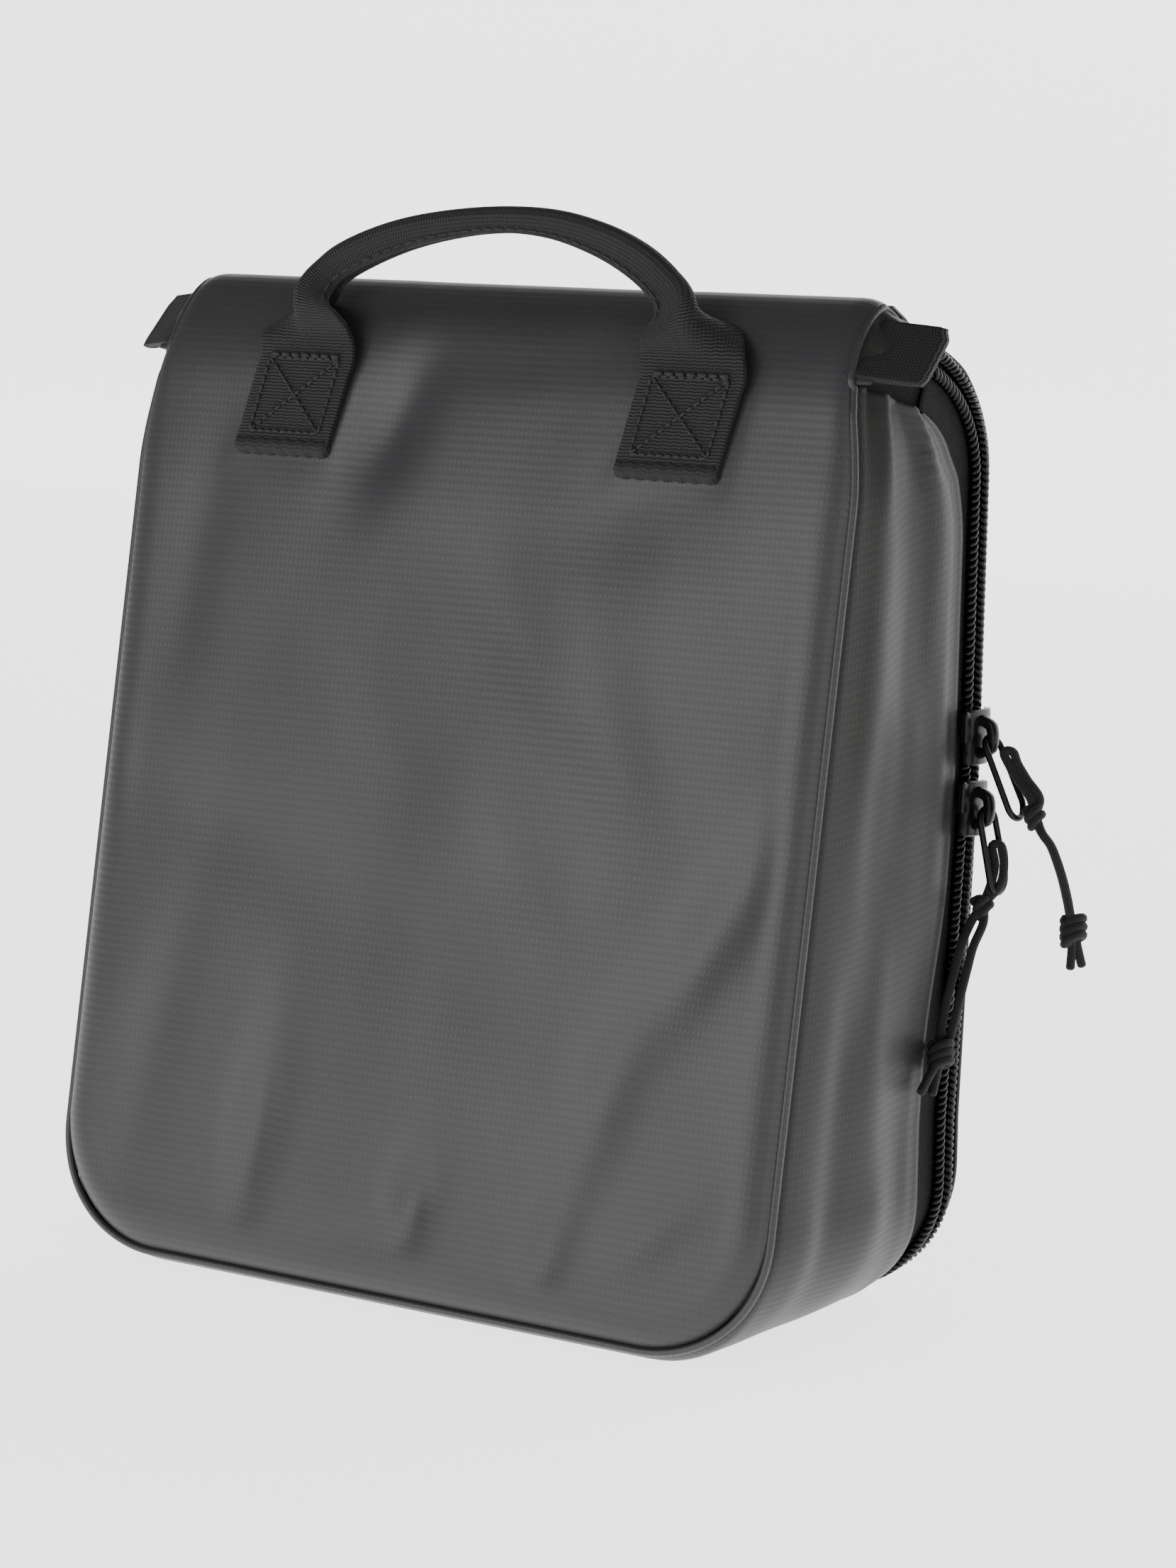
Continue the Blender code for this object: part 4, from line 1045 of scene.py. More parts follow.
def tape_end(side):
    """The tape's end: it runs on under the tab, from the zip forward to the front seam."""
    low, high = [], []
    for n in range(9):
        share = n / 8
        low.append(Vector((seam_y(SEAM_TOP) + 0.0020, SEAM_TOP - 0.0070)).lerp(Vector((0.0410, 0.2120)), share))
        high.append(Vector((seam_y(SEAM_TOP) + 0.0012, SEAM_TOP + 0.0035)).lerp(Vector((0.0350, 0.2385)), share))
    rows = []
    for r in range(9):
        row = []
        for n, (a, b) in enumerate(zip(low, high)):
            y, z = a.lerp(b, r / 8)
            row.append((side * (HALF - 0.0014 - tucked(z, n / 8, 1.0)), y, z))
        rows.append(row if side > 0 else list(reversed(row)))
    return thickened(grid_mesh("tape_end", rows), TAPE)


def gusset_layer(name, front_inset, zip_inset, depth, thickness, only_seam=None):
    """A layer inside the gusset, or with only_seam a strip of that width along the front seam."""
    rows = []
    for index, place in enumerate(PLACES):
        side_y, side_z = zip_sideways(index)
        edge = Vector((place["zip"][0] + side_y * zip_inset, place["zip"][1] + side_z * zip_inset))
        seam = Vector((place["seam"][0] + front_inset, place["seam"][1]))
        count = 5 if only_seam else 14
        row = []
        for n in range(count + 1):
            share = n / count
            point = seam.lerp(edge, share) if not only_seam else seam + (edge - seam).normalized() * only_seam * share
            ripple = 0.0 if only_seam else 0.0006 * noise.noise(Vector((share * 4, index * 0.11, 3.3)))
            tuck = tucked(point.y, 0.0 if only_seam else share, 1 - max(0.0, -place["out"][1]))
            row.append(lifted(place, point.x, point.y, depth + abs(ripple) + tuck))
        rows.append(row)
    return thickened(grid_mesh(name, rows), thickness)


def corner_cloth(side):
    """The cloth that closes an upper corner: gathered folds fan out from the tab up to the roll."""
    roll = []
    source = [(front_y(0.224), 0.224)] + CROWN
    for i, (y, z) in enumerate(source):
        behind, ahead = beside(source, i)
        dy, dz = ahead[0] - behind[0], ahead[1] - behind[1]
        size = math.hypot(dy, dz)
        roll.append((y + dz / size * 0.0013, z - dy / size * 0.0013))
    start = (seam_y(SEAM_TOP) + 0.0016, SEAM_TOP)
    top = [start] + [p for p in roll if p[1] > SEAM_TOP + 0.001]
    low_from, low_to = Vector((0.0030, 0.2372)), Vector((0.0300, 0.2440))
    rows = []
    steps = 16
    for r in range(steps + 1):
        share = r / steps
        row = []
        for n, point in enumerate(top):
            t = n / (len(top) - 1)
            low = low_from.lerp(low_to, t)
            y, z = Vector(point).lerp(low, share)
            hollow = 0.0020 * eased(share, 0.35, 0.8)
            folds = 0.0010 * math.sin(2 * math.pi * (3.4 * t + 0.35 * share)) * math.sin(math.pi * share)
            drawn_in = (HALF - half_at(-1, point[1])) * (1 - eased(share, 0.0, 0.45))
            row.append((side * (HALF - 0.0006 - drawn_in - hollow + folds), y, z))
        rows.append(row if side > 0 else list(reversed(row)))
    rows.reverse()
    return thickened(grid_mesh("corner_cloth", rows), 0.0006)


# Cords: each leg runs from its hitch to its own cut end; knots and bights are separate pieces

CORDS = {
    "upper": {"hold": (0.12408, 0.054127, 0.126757), "pivot": (0.1157, 0.052627, 0.1465),
              "hitch": (0.0040, 0.0006, 0.0012),
              "legs": ((0.0020, 0.0004, -0.0044), (0.0045, 0.0012, -0.0080), (0.0068, 0.0024, -0.0148),
                       (0.0081, 0.0034, -0.0208), (0.0088, 0.0040, -0.0250)),
              "end": (0.0008, 0.0005, -0.0037), "tails": ((0.0020, 0.0012, -0.0090), (0.0004, -0.0018, -0.0094)),
              "apart": (0.0007, -0.0010, 0.0),
              "bight": ((0.0000, 0.0002, 0.0040), (-0.0034, -0.0002, 0.0084), (-0.0060, -0.0006, 0.0122),
                        (-0.0074, -0.0008, 0.0152))},
    "lower": {"hold": (0.119045, 0.053965, 0.107381), "pivot": (0.1157, 0.051718, 0.1285),
              "hitch": (-0.0026, -0.0034, -0.0030),
              "legs": ((-0.0002, -0.0024, -0.0044), (-0.0007, -0.0062, -0.0098), (-0.0011, -0.0084, -0.0156),
                       (-0.0015, -0.0113, -0.0232), (-0.0019, -0.0141, -0.0320)),
              "end": (0.0001, -0.0020, -0.0040), "tails": ((0.0000, -0.0095, -0.0078), (0.0004, -0.0045, -0.0090)),
              "apart": (0.0013, 0.0009, 0.0),
              "bight": ((0.0026, 0.0014, 0.0050), (0.0030, 0.0026, 0.0100), (0.0020, 0.0028, 0.0148))}}


def knot_path(center, axis, radius, wraps, pitch=0.0021):
    """A knot drawn tight: slanting wraps round the doubled cord, closed through the middle."""
    axis = axis.normalized()
    side = axis.orthogonal().normalized()
    other = axis.cross(side)
    points = []
    for n in range(14 * wraps + 1):
        turn = n / 14
        angle = 2 * math.pi * turn
        size = radius * (1 - 0.12 * abs(turn / wraps - 0.5))
        along = (turn - wraps / 2) * pitch + 0.4 * radius * math.sin(angle + 0.7)
        points.append(center + side * (size * math.cos(angle)) + other * (size * math.sin(angle)) + axis * along)
    reach = wraps / 2 * pitch
    points += [center + axis * reach * 0.7, center - axis * reach * 0.7, points[0]]
    return smooth_route(points, 0.0005)[:-1]


def cords():
    for name, facts in CORDS.items():
        body = name + "_cord"
        hold = Vector(facts["hold"])
        hitch = hold + Vector(facts["hitch"])
        middle = [hitch + Vector(point) for point in facts["legs"]]
        end = middle[-1] + Vector(facts["end"])
        knots = [new_piece(name + "_hitch_knot", tube_mesh(name + "_hitch_knot",
                           knot_path(hitch, Vector((0.4, 0.1, -1.0)), 0.00180, 2), 0.00116, 12, closed=True),
                           "cord", body, [body + "_hitch"]),
                 new_piece(name + "_end_knot", tube_mesh(name + "_end_knot",
                           knot_path(end, Vector((0.2, -0.3, -1.0)), 0.00245, 3), 0.00118, 12, closed=True),
                           "cord", body, [body + "_end_knot"])]
        bight = [hitch + Vector(p) for p in facts["bight"]]
        loops = []
        for turn in (1, -1):
            shift = Vector((0.00096, 0.00064, 0.0)) * turn
            loops.append([hitch] + [p + shift for p in bight])
        lane = smooth_route(loops[0] + list(reversed(loops[1])), 0.0006)
        new_piece(name + "_bight", tube_mesh(name + "_bight", lane, 0.00115), "cord", name + "_ring")
        for leg, turn, tail in (("a", 1, facts["tails"][0]), ("b", -1, facts["tails"][1])):
            shift = Vector(facts["apart"]) * turn
            near = Vector((0.0, turn * 0.0006, 0.0))
            route = [hitch + near] + [point + shift for point in middle[:-1]] + [middle[-1] + shift * 0.8]
            route += [end + near, end + Vector(tail) * 0.5, end + Vector(tail)]
            path = smooth_route(route, 0.0005)
            length = sum((b - a).length for a, b in zip(path, path[1:]))
            piece = new_piece(name + "_cord_" + leg, tube_mesh(name + "_cord_" + leg, path, CORD_WIDTH / 2 - 0.00005),
                              "cord", body, [body + "_leg_" + leg])
            knots if leg == "a" else []


# Rings and sliders

def racetrack(pivot, hold, width, bend):
    """The centre line of a long wire loop that hangs from the pivot to the hold."""
    down = (hold - pivot).normalized()
    length = (hold - pivot).length
    side = Vector((0.0, 1.0, 0.0))
    side = (side - down * side.dot(down)).normalized()
    through = down.cross(side)
    points = []
    radius = width / 2
    for n in range(25):
        angle = math.pi * n / 24
        points.append(pivot + side * radius * 0.92 * math.cos(angle) + down * (radius * 0.75 * (1 - math.sin(angle))))
    for n in range(25):
        angle = math.pi * n / 24
        points.append(pivot - side * radius * math.cos(angle) + down * (length - radius + radius * math.sin(angle)))
    return [p + through * bend * math.sin(math.pi * (p - pivot).dot(down) / length) for p in points]


class Run:
    """A straight stretch of the zip on the right side, with its own frame: out, across and up."""

    def __init__(self, low, high):
        self.low = Vector((HALF, *low))
        self.up = (Vector((HALF, *high)) - self.low).normalized()
        self.out = Vector((1.0, 0.0, 0.0))
        self.across = self.up.cross(self.out)

    def at(self, height, out=0.0, across=0.0, up=0.0):
        start = self.low + self.up * ((height - self.low.z) / self.up.z)
        return start + self.out * out + self.across * across + self.up * up


def beveled(mesh, width):
    """The same mesh with its sharp edges taken off."""
    holder = add_object(mesh.name, mesh)
    bevel = holder.modifiers.new("soft_edges", "BEVEL")
    bevel.width = width
    bevel.segments = 1
    bevel.limit_method = "ANGLE"
    bevel.angle_limit = math.radians(35)
    return plain_mesh(holder)


def slider_body(name, run, height):
    """A cast slider: a waisted outer plate with rims turned down over the coils, a neck and an inner plate."""
    crown = COIL_HEIGHT - CLOTH
    low, high = crown + GAP, crown + GAP + 0.0013
    inner_high = -(TAPE_DEPTH + TAPE + GAP)
    inner_low = inner_high - 0.0012
    meshes = []
    stations = [(-0.0071, 0.80), (-0.0060, 0.86), (-0.0040, 0.83), (-0.0015, 0.80), (0.0010, 0.84), (0.0035, 0.95),
                (0.0055, 1.0), (0.0069, 0.96)]
    section = [(high, -4.6), (high + 0.00025, -2.0), (high + 0.00035, 0.0), (high + 0.00025, 2.0), (high, 4.6),
               (high - 0.0006, 5.9), (0.0010, 6.0), (0.0010, 5.15), (low, 4.9), (low, 0.0), (low, -4.9),
               (0.0010, -5.15), (0.0010, -6.0), (high - 0.0006, -5.9)]
    rings = [[run.at(height, out, across * MM * wide, up) for out, across in section] for up, wide in stations]
    meshes.append(beveled(loft_mesh(name, rings), 0.0003))
    inner = [(inner_high, -5.0), (inner_high, 5.0), (inner_low + 0.0003, 5.1), (inner_low, 4.4), (inner_low, -4.4),
             (inner_low + 0.0003, -5.1)]
    rings = [[run.at(height, out, across * MM * wide, up) for out, across in inner] for up, wide in stations]
    meshes.append(beveled(loft_mesh(name, rings), 0.0003))
    neck = [(low + 0.0002, -0.35), (low + 0.0002, 0.35), (inner_high - 0.0002, 0.35), (inner_high - 0.0002, -0.35)]
    rings = [[run.at(height, out, across * MM, up) for out, across in neck] for up in (0.0030, 0.0062)]
    meshes.append(loft_mesh(name, rings))
    flange = [(high - 0.0002, -4.2), (high - 0.0002, -6.9), (0.0012, -6.9), (0.0012, -4.2)]
    rings = [[run.at(height, out, across * MM, up) for out, across in flange] for up in (-0.0012, 0.0066)]
    meshes.append(beveled(loft_mesh(name, rings), 0.0004))
    arch = []
    outer = 0.0056
    for n in range(25):
        angle = math.pi * n / 24
        square = 1.0 / max(abs(math.cos(angle)), abs(math.sin(angle))) ** 0.45
        arch.append((math.cos(angle) * outer * min(1.0, square), math.sin(angle) * 0.0053 * min(1.12, square)))
    rings = []
    half_wide, metal = 0.0015, 0.0027
    for i, (up, rise) in enumerate(arch):
        behind, ahead = beside(arch, i)
        way = Vector((ahead[0] - behind[0], ahead[1] - behind[1])).normalized()
        normal = Vector((way.y, -way.x))
        foot = high - 0.0004
        ring = []
        for k in range(14):
            a = 2 * math.pi * k / 14
            c, s = math.cos(a), math.sin(a)
            c = math.copysign(abs(c) ** 0.6, c)
            s = math.copysign(abs(s) ** 0.6, s)
            radial = metal / 2 * c - metal / 2
            ring.append(run.at(height, foot + rise + normal.y * radial, half_wide * s, up + normal.x * radial))
        rings.append(ring)
    meshes.append(loft_mesh(name, rings))
    return joined(name, meshes)


def sliders():
    runs = {"upper": (Run(ZIP_BEND, ZIP_HIGH), 0.1465), "lower": (Run(ZIP_LOW, ZIP_BEND), 0.1285)}
    for name, (run, height) in runs.items():
        new_piece(name + "_slider_cast", slider_body(name + "_slider_cast", run, height), "slider_metal",
                  name + "_slider", [name + "_slider"])
        facts = CORDS[name]
        track = racetrack(Vector(facts["pivot"]), Vector(facts["hold"]), 0.0080, 0.0006)
        new_piece(name + "_ring_wire", tube_mesh(name + "_ring_wire", track, 0.00084, 14, closed=True), "ring_metal",
                  name + "_ring", [name + "_ring"])


# Webbing: the handle with its sewn ends, and the tabs

PANEL_UP = Vector((0.0, math.sin(math.atan(FRONT_LEAN)), math.cos(math.atan(FRONT_LEAN))))
PANEL_OUT = Vector((0.0, -PANEL_UP.z, PANEL_UP.y))
HANDLE_ARCH = [
    (-0.0560, -0.0050, 0.2475), (-0.0530, -0.0030, 0.2555), (-0.0450, -0.0018, 0.2621), (-0.0270, -0.0005, 0.2688),
    (-0.0050, 0.0005, 0.2725), (0.0150, 0.0005, 0.2725), (0.0320, -0.0005, 0.2690), (0.0460, -0.0018, 0.2632),
    (0.0560, -0.0030, 0.2555), (0.0615, -0.0050, 0.2475)]
PATCH_LIFT = 0.0020


def on_panel(x, z, out):
    """A place on the sloping front, out from its cloth."""
    return Vector((x, front_y(z), z)) + PANEL_OUT * (out + 0.0008)


def patch_line(side):
    """The middle line of the handle's sewn end, from its foot up."""
    foot, head = PATCHES[side]
    line = []
    for n in range(6):
        share = n / 5
        line.append(on_panel(foot + (head - foot) * share, PATCH_FOOT + (PATCH_TOP - PATCH_FOOT) * share, PATCH_LIFT))
    return line


def webbing_section(point, tangent, share, flare_side):
    """Points across the webbing: flat at share 0, and folded lengthwise, open side in, at share 1."""
    inward = Vector((0.0, 1.0, 0.0)).cross(tangent).normalized()
    flat_way = Vector((flare_side, 0.0, 0.0))
    width_way = flat_way.lerp(inward, eased(share, 0.0, 0.8)).normalized()
    front_way = tangent.cross(width_way).normalized()
    if front_way.y > 0:
        front_way = -front_way
    half = 0.0149 - 0.0052 * min(1.0, share) - 0.0026 * max(0.0, share - 1.0)
    share = min(1.0, share)
    turn = math.pi * 1.02 * eased(share, 0.0, 1.0)
    bend = max(0.0004, 0.00185 * turn / 2 + 0.0008 * (1 - share))
    count = 28
    points = []
    place = Vector((0.0, 0.0))
    last = half
    steps = 4
    piece = 2 * half / count / steps
    for n in range(count + 1):
        for _ in range(steps if n else 0):
            middle = last - piece / 2
            last -= piece
            if middle > bend:
                angle = 0.0
            elif middle < -bend:
                angle = turn
            else:
                angle = turn * (1 - (middle + bend) / (2 * bend))
            place = place - Vector((math.cos(angle), math.sin(angle))) * piece
        points.append(place.copy())
    mean = sum(points, Vector((0.0, 0.0))) / len(points)
    return [point + width_way * (p.x - mean.x) + front_way * (p.y - mean.y) for p in points], width_way, front_way


def handle_webbing():
    spine = smooth_route(patch_line("left") + HANDLE_ARCH + list(reversed(patch_line("right"))), 0.0016)
    walked = [0.0]
    for a, b in zip(spine, spine[1:]):
        walked.append(walked[-1] + (b - a).length)
    flat = 0.0290
    flare = 0.0200
    rows, stitches = [], []
    for i, point in enumerate(spine):
        behind, ahead = beside(spine, i)
        tangent = (ahead - behind).normalized()
        from_end = min(walked[i], walked[-1] - walked[i])
        share = max(0.0, (from_end - flat) / flare)
        if share > 1.0:
            share = 1.0 + eased(from_end, flat + flare, walked[-1] / 2)
        left = walked[i] < walked[-1] / 2
        section, width_way, front_way = webbing_section(point, tangent, share, 1.0 if left else -1.0)
        rows.append(section)
        if share > 0.55:
            stitches.append((section[2] + front_way * 0.00085, front_way))
    mesh = thickened(grid_mesh("handle_webbing", rows), 0.0014, offset=0.0)
    bend = ("shell", "handle", (0.0, -0.0066, 0.2362), (0.0, -0.0060, 0.2470))
    new_piece("handle_webbing", mesh, "webbing", None, ["handle_grip", "handle_patch_left", "handle_patch_right"],
              bend)
    path = [place for place, _ in stitches]
    ways = [way for _, way in stitches]
    marks = marks_along(path, 0.0034, lambda share: ways[min(len(ways) - 1, int(share * len(ways)))])
    new_piece("handle_seam", STITCH.at("handle_seam", marks, "thread", Length=0.0030, Width=0.0007, Height=0.0006),
              "thread", "handle")


def patch_details(side):
    """The rolled hem at the foot of the handle's end, and the boxed cross that holds it."""
    foot, head = PATCHES[side]
    lean = (head - foot) / (PATCH_TOP - PATCH_FOOT)
    rings = []
    for n in range(37):
        across = -0.0152 + 0.0304 * n / 36
        edge = min(1.0, (0.0152 - abs(across)) / 0.0012 + 0.35)
        wave = 0.0002 * math.sin(n * 1.3)
        center = on_panel(foot + across + lean * 0.0005, PATCH_FOOT + 0.0006 + wave, 0.0016)
        ring = []
        for k in range(14):
            a = 2 * math.pi * k / 14
            ring.append(center + PANEL_UP * (0.0024 * edge * math.cos(a)) + PANEL_OUT * (0.0018 * edge * math.sin(a)))
        rings.append(ring)
    new_piece("patch_hem_" + side, loft_mesh("patch_hem_" + side, rings), "webbing", "shell")
    half_x, low, high = 0.0112, 0.0042, 0.0232

    def at(across, up):
        """A place on the patch; up is from its foot."""
        z = PATCH_FOOT + up
        return on_panel(foot + lean * up + across, z, PATCH_LIFT + 0.00105)
    corners = [at(-half_x, low), at(half_x, low), at(half_x, high), at(-half_x, high)]
    lines = [(corners[0], corners[1]), (corners[3], corners[2]), (corners[0], corners[2]), (corners[1], corners[3]),
             (corners[1], corners[2]), (corners[0], corners[3])]
    marks = []
    for a, b in lines:
        marks += marks_along([a, b], 0.0024, PANEL_OUT)
    doubled = marks_along([at(-half_x, high + 0.0007), at(half_x, high + 0.0007)], 0.0031, PANEL_OUT)
    thread = [STITCH.at("thread", marks, "thread", Length=0.0022, Width=0.00080, Height=0.0008),
              STITCH.at("thread", doubled, "thread", Length=0.0029, Width=0.0013, Height=0.0011)]
    new_piece("box_thread_" + side, joined("box_thread_" + side, thread), "thread", "shell", ["box_stitch_" + side])


def tab_mesh(name, side):
    """A folded webbing loop: a flattened U, drawn slanting along the end of the zip."""
    along = Vector((side * 0.90, 0.42, -0.10)).normalized()
    across = Vector((-side * 0.42, 0.90, 0.0)).normalized()
    run = Vector((0.0, -0.72, -0.69)) * TAB_WIDTH
    outer = WEBBING + 0.0005
    root = Vector((side * (HALF + GAP + 2 * outer * 0.43), 0.0150, 0.2500)) + across * outer
    middle = outer - WEBBING / 2
    length = 0.72 * (TAB_REACH - outer)
    profile = [(-0.0070, middle * 0.9), (-0.0035, middle), (0.0, middle)]
    profile += [(length * n / 6, middle + 0.0003 * math.sin(math.pi * n / 6)) for n in range(1, 7)]
    for n in range(1, 12):
        angle = math.pi / 2 - math.pi * n / 12
        profile.append((length + middle * 1.5 * math.cos(angle), middle * 1.3 * math.sin(angle)))
    profile += [(length * n / 6, -middle - 0.0002) for n in range(6, -1, -1)] + [(-0.0035, -middle), (-0.0070, -middle)]
    rows = []
    for a, b in profile:
        row = []
        for n in range(17):
            share = n / 16
            rounding = 0.0016 * eased(a, 0.0, length) * (eased(-share, -0.22, 0.0) + 0.4 * eased(share, 0.85, 1.0))
            row.append(root + along * (a - rounding) + across * b + run * share)
        rows.append(row if side > 0 else list(reversed(row)))
    return thickened(grid_mesh(name, rows), WEBBING * 0.92, offset=0.0)


# Cloth pieces

def outer_cloth():
    new_piece("front_cloth", panel_mesh("front_cloth", -1, relief=front_relief, columns=150), "shell_fabric",
              "shell", ["front_panel"])
    new_piece("back_cloth", panel_mesh("back_cloth", 1, relief=back_relief, columns=130), "shell_fabric",
              "cover", ["back_panel"])
    new_piece("gusset_cloth", gusset_mesh(), "gusset_fabric", "shell", ["gusset_outer"])
    edge_fold()
    for name, side in (("right", 1), ("left", -1)):
        new_piece("corner_cloth_" + name, corner_cloth(side), "gusset_fabric", "shell", ["corner_facing_" + name])
        new_piece("tape_end_" + name, tape_end(side), "zip_tape", "shell")
        new_piece("tab_loop_" + name, tab_mesh("tab_loop_" + name, side), "webbing", "shell", ["tab_" + name])
    hinge_rows = []
    hinge = Vector((0.0, *HINGE))
    for y, z in CROWN[-5:] + COVER_TOP[:4]:
        lift = 0.00035 if abs(y - HINGE[0]) < 0.003 else 0.0
        hinge_rows.append([(x / 20 * (HALF - 0.0062), y, z + lift) for x in range(-20, 21)])
    new_piece("hinge_cloth", thickened(grid_mesh("hinge_cloth", hinge_rows), 0.0007), "shell_fabric", None, (),
              ("shell", "cover", tuple(hinge + Vector((0, -0.003, 0.001))), tuple(hinge + Vector((0, 0.003, -0.001)))))


def inner_cloth():
    new_piece("front_foam", panel_mesh("front_foam", -1, FOAM_DEPTH, FOAM_INSET, inner_relief(-1, 0.3, 0.0),
                                       top_inset=FOAM_TOP_INSET, columns=60, thickness=FOAM),
              "foam", "shell", ["front_padding"])
    new_piece("back_foam", panel_mesh("back_foam", 1, FOAM_DEPTH, COVER_INSET, inner_relief(1, 0.3, 0.0),
                                      top_inset=FOAM_TOP_INSET, columns=60, thickness=FOAM),
              "foam", "cover", ["back_padding"])
    new_piece("front_inside", panel_mesh("front_inside", -1, LINING_DEPTH, LINING_INSET,
                                         inner_relief(-1, 1.7, 0.0005),
                                         top_inset=LINING_TOP_INSET, columns=60, thickness=LINING),
              "lining", "shell", ["front_lining"])
    new_piece("back_inside", panel_mesh("back_inside", 1, LINING_DEPTH, COVER_INSET, inner_relief(1, 5.2, 0.0005),
                                        top_inset=LINING_TOP_INSET, columns=60, thickness=LINING),
              "lining", "cover", ["back_lining"])
    new_piece("gusset_inside", gusset_layer("gusset_inside", ROOM_START, LINING_TO_ZIP,
                                            TAPE_DEPTH + TAPE + GAP, LINING), "lining", "shell", ["gusset_lining"])
    new_piece("seam_tape", gusset_layer("seam_tape", ROOM_START, LINING_TO_ZIP,
                                        TAPE_DEPTH + TAPE + LINING + 3 * GAP, 0.0010, BINDING_WIDTH),
              "binding", "shell", ["gusset_seam_binding"])
    pockets()
    cover_binding()
    hinge_lining()


def pockets():
    """The slip pocket with its elastic top, and the mesh pocket under its own small zip."""
    def pocket_relief(x, z, height):
        gather = 0.5 + 0.5 * math.sin(x * 760 + 2 * math.sin(x * 90))
        gathers = 0.0022 * gather * eased(z, 0.085, 0.121)
        bagging = 0.0020 * (1 - (x / HALF) ** 2) * eased(z, 0.03, 0.10)
        return min(0.0, front_hollows(x, z, height)) - gathers - bagging
    new_piece("slip_pocket_cloth", panel_mesh("slip_pocket_cloth", -1, SLIP_POCKET_DEPTH, SLIP_POCKET_INSET,
                                              pocket_relief, *SLIP_POCKET, columns=150, thickness=LINING),
              "lining", "shell", ["slip_pocket"])
    new_piece("slip_pocket_band", panel_mesh("slip_pocket_band", -1, SLIP_POCKET_DEPTH, SLIP_POCKET_INSET,
                                             pocket_relief, *ELASTIC, columns=150, thickness=0.0012),
              "binding", "shell", ["slip_pocket_elastic"])
    new_piece("mesh_pocket_cloth", panel_mesh("mesh_pocket_cloth", 1, POCKET_DEPTH, MESH_POCKET_INSET,
                                              inner_relief(1, 8.1, 0.0010), *MESH_POCKET, columns=70,
                                              thickness=0.0004),
              "mesh", "cover", ["mesh_pocket"])
    new_piece("pocket_tape", panel_mesh("pocket_tape", 1, POCKET_DEPTH, MESH_POCKET_INSET, None, *POCKET_TAPE,
                                        columns=50, thickness=TAPE), "zip_tape", "cover", ["pocket_zip_tape"])
    z = POCKET_ZIP_Z
    marks = []
    count = 150
    for lane in (-1, 1):
        for n in range(count):
            x = -0.084 + 0.168 * (n + 0.25 * lane) / count
            y = back_y(z) + back_bulge(x, z) - POCKET_DEPTH - TAPE - 0.0006
            marks.append((Vector((x, y, z + lane * 0.00095)), Vector((1, 0, 0)), Vector((0, -1, 0))))
    new_piece("pocket_coil", COIL.at("pocket_coil", marks, "zip_coil", Width=0.0021, Height=0.0010, Wire=0.0004,
                                     Slant=0.35), "zip_coil", "cover", ["pocket_zip_coil"])


def cover_binding():
    """The flat binding round the cover's lining, from one side of the hinge to the other."""
    rim = []
    for inset in (COVER_INSET + 0.0005, 0.0120):
        line = []
        for n in range(40):
            height = 0.215 - ZIP_LIFT - (0.215 - ZIP_LIFT - CORNER) * n / 39
            line.append((HALF - inset, ZIP_LIFT + height))
        for n in range(1, 25):
            angle = math.pi / 2 * n / 24
            radius = CORNER - inset
            line.append((HALF - CORNER + radius * math.cos(angle), ZIP_LIFT + CORNER - radius * math.sin(angle)))
        for n in range(1, 25):
            line.append(((HALF - CORNER) * (1 - 2 * n / 25), ZIP_LIFT + inset))
        line += [(-x, z) for x, z in reversed(line[:64])]
        rim.append(line)
    rows = []
    for (x1, z1), (x2, z2) in zip(*rim):
        row = []
        for n in range(5):
            x, z = x1 + (x2 - x1) * n / 4, z1 + (z2 - z1) * n / 4
            row.append((x, back_y(z) + back_bulge(x, z) - POCKET_DEPTH, z))
        rows.append(list(reversed(row)))
    new_piece("cover_tape", thickened(grid_mesh("cover_tape", rows), TAPE), "binding", "cover",
              ["cover_seam_binding"])


def hinge_lining():
    """The lining's strip under the hinge, with its transform baked in and tied to no body."""
    rows = []
    hinge = Vector((0.0, *HINGE))
    for y, z in [(0.0165, 0.2494), (0.0200, 0.2484), (0.0240, 0.2470), (0.0290, 0.2448), (0.0330, 0.2428)]:
        rows.append([(x / 12 * (HALF - 0.006), y, z) for x in range(12, -13, -1)])
    new_piece("hinge_lining", thickened(grid_mesh("hinge_lining", rows), 0.0005), "lining", None, (),
              ("shell", "cover", tuple(hinge + Vector((0, -0.004, -0.005))), tuple(hinge + Vector((0, 0.004, -0.006)))))


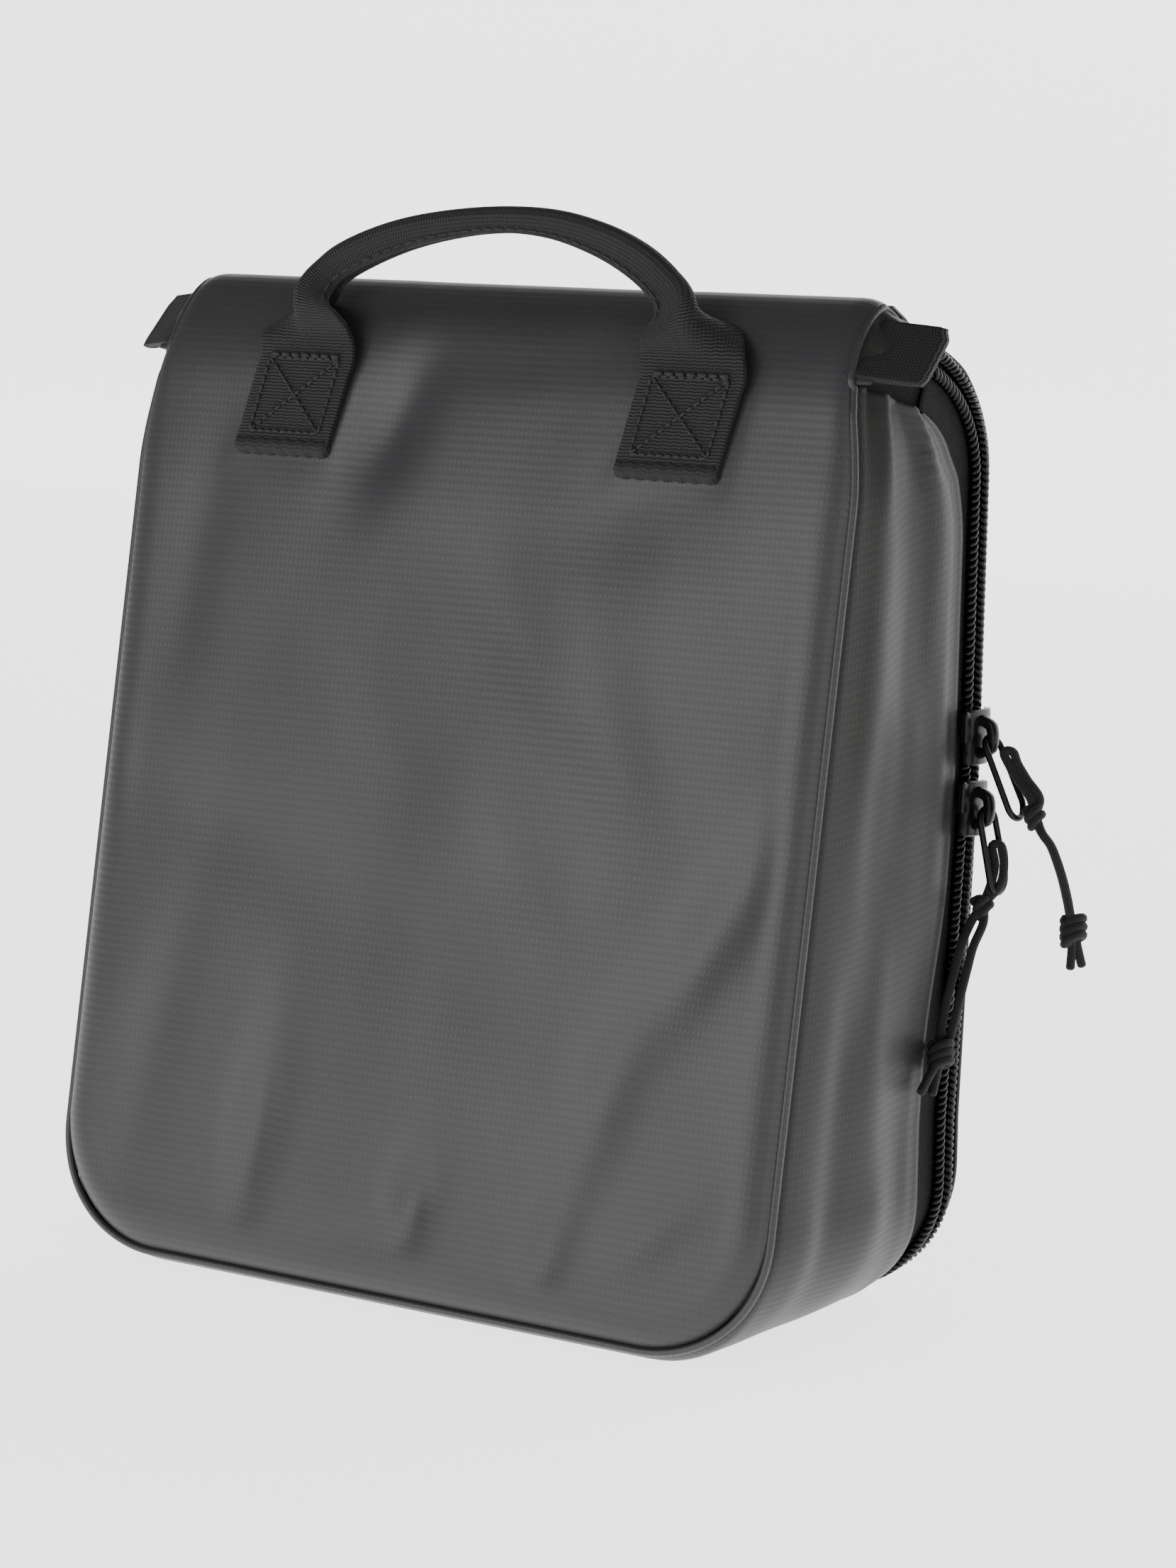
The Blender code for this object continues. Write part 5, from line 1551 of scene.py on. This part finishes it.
def main_zip():
    def reach(index):
        """The tape's width: at its two ends it runs on under the tab to the front seam."""
        return TAPE_REACH + 0.020 * eased(PLACES[index]["zip"][1], 0.216, 0.238)
    new_piece("shell_tape", zip_band("shell_tape", COIL_NEAR, reach, TAPE_DEPTH, TAPE, 20), "zip_tape", "shell",
              ["zip_tape_shell"])
    new_piece("cover_tape_strip", zip_band("cover_tape_strip", lambda i: -cover_gap(i), -COIL_NEAR, TAPE_DEPTH, TAPE),
              "zip_tape", "cover", ["zip_tape_cover"])
    depth = TAPE_DEPTH - GAP - COIL_HEIGHT / 2
    for name, side, body in (("shell", 1, "shell"), ("cover", -1, "cover")):
        across = side * (COIL_NEAR + COIL_WIDTH / 2 - 0.0003)
        path = [zip_point(i, across, depth) for i in range(len(PLACES))]
        outs = [Vector((p["out"][0], 0.0, p["out"][1])) for p in PLACES]
        lengths = [0.0]
        for a, b in zip(path, path[1:]):
            lengths.append(lengths[-1] + (b - a).length)
        marks, k = [], 0
        goal = COIL_PITCH * (0.25 if side > 0 else 0.75)
        while goal < lengths[-1]:
            while lengths[k + 1] < goal:
                k += 1
            share = (goal - lengths[k]) / max(1e-9, lengths[k + 1] - lengths[k])
            marks.append((path[k].lerp(path[k + 1], share), (path[k + 1] - path[k]).normalized(), outs[k]))
            goal += COIL_PITCH
        mesh = COIL.at(name + "_coil", marks, "zip_coil", Width=COIL_WIDTH - 0.0006, Height=COIL_HEIGHT - 0.0012,
                       Wire=0.00138, Slant=0.70 * side)
        new_piece(name + "_coil", mesh, "zip_coil", body, ["zip_coil_" + name])


def kept_solids():
    """The pocket's small slider and pull keep their solids and get a better finish."""
    for name, slot in (("pocket_slider", "slider_metal"), ("pocket_pull", "slider_metal")):
        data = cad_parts[name].data
        data.materials.clear()
        data.materials.append(FINISHES[slot])


def floor():
    """A pale floor that curves up into the wall behind."""
    mesh = bpy.data.meshes.new("floor")
    reach, rise, radius = 3.0, 2.5, 0.8
    profile = [(-reach, 0.0)]
    for n in range(13):
        angle = math.pi / 2 * n / 12
        profile.append((reach - radius + radius * math.sin(angle), radius - radius * math.cos(angle)))
    profile.append((reach, rise))
    points = [(x, y, z) for y, z in profile for x in (-4.0, 4.0)]
    faces = [(2 * i, 2 * i + 1, 2 * i + 3, 2 * i + 2) for i in range(len(profile) - 1)]
    mesh.from_pydata(points, [], faces)
    for polygon in mesh.polygons:
        polygon.use_smooth = True
    mesh.materials.append(pale_floor())
    add_object("floor", mesh)


set_camera()
set_light()
cords()
outer_cloth()
main_zip()
sliders()
handle_webbing()
patch_details("left")
patch_details("right")
inner_cloth()
kept_solids()
floor()
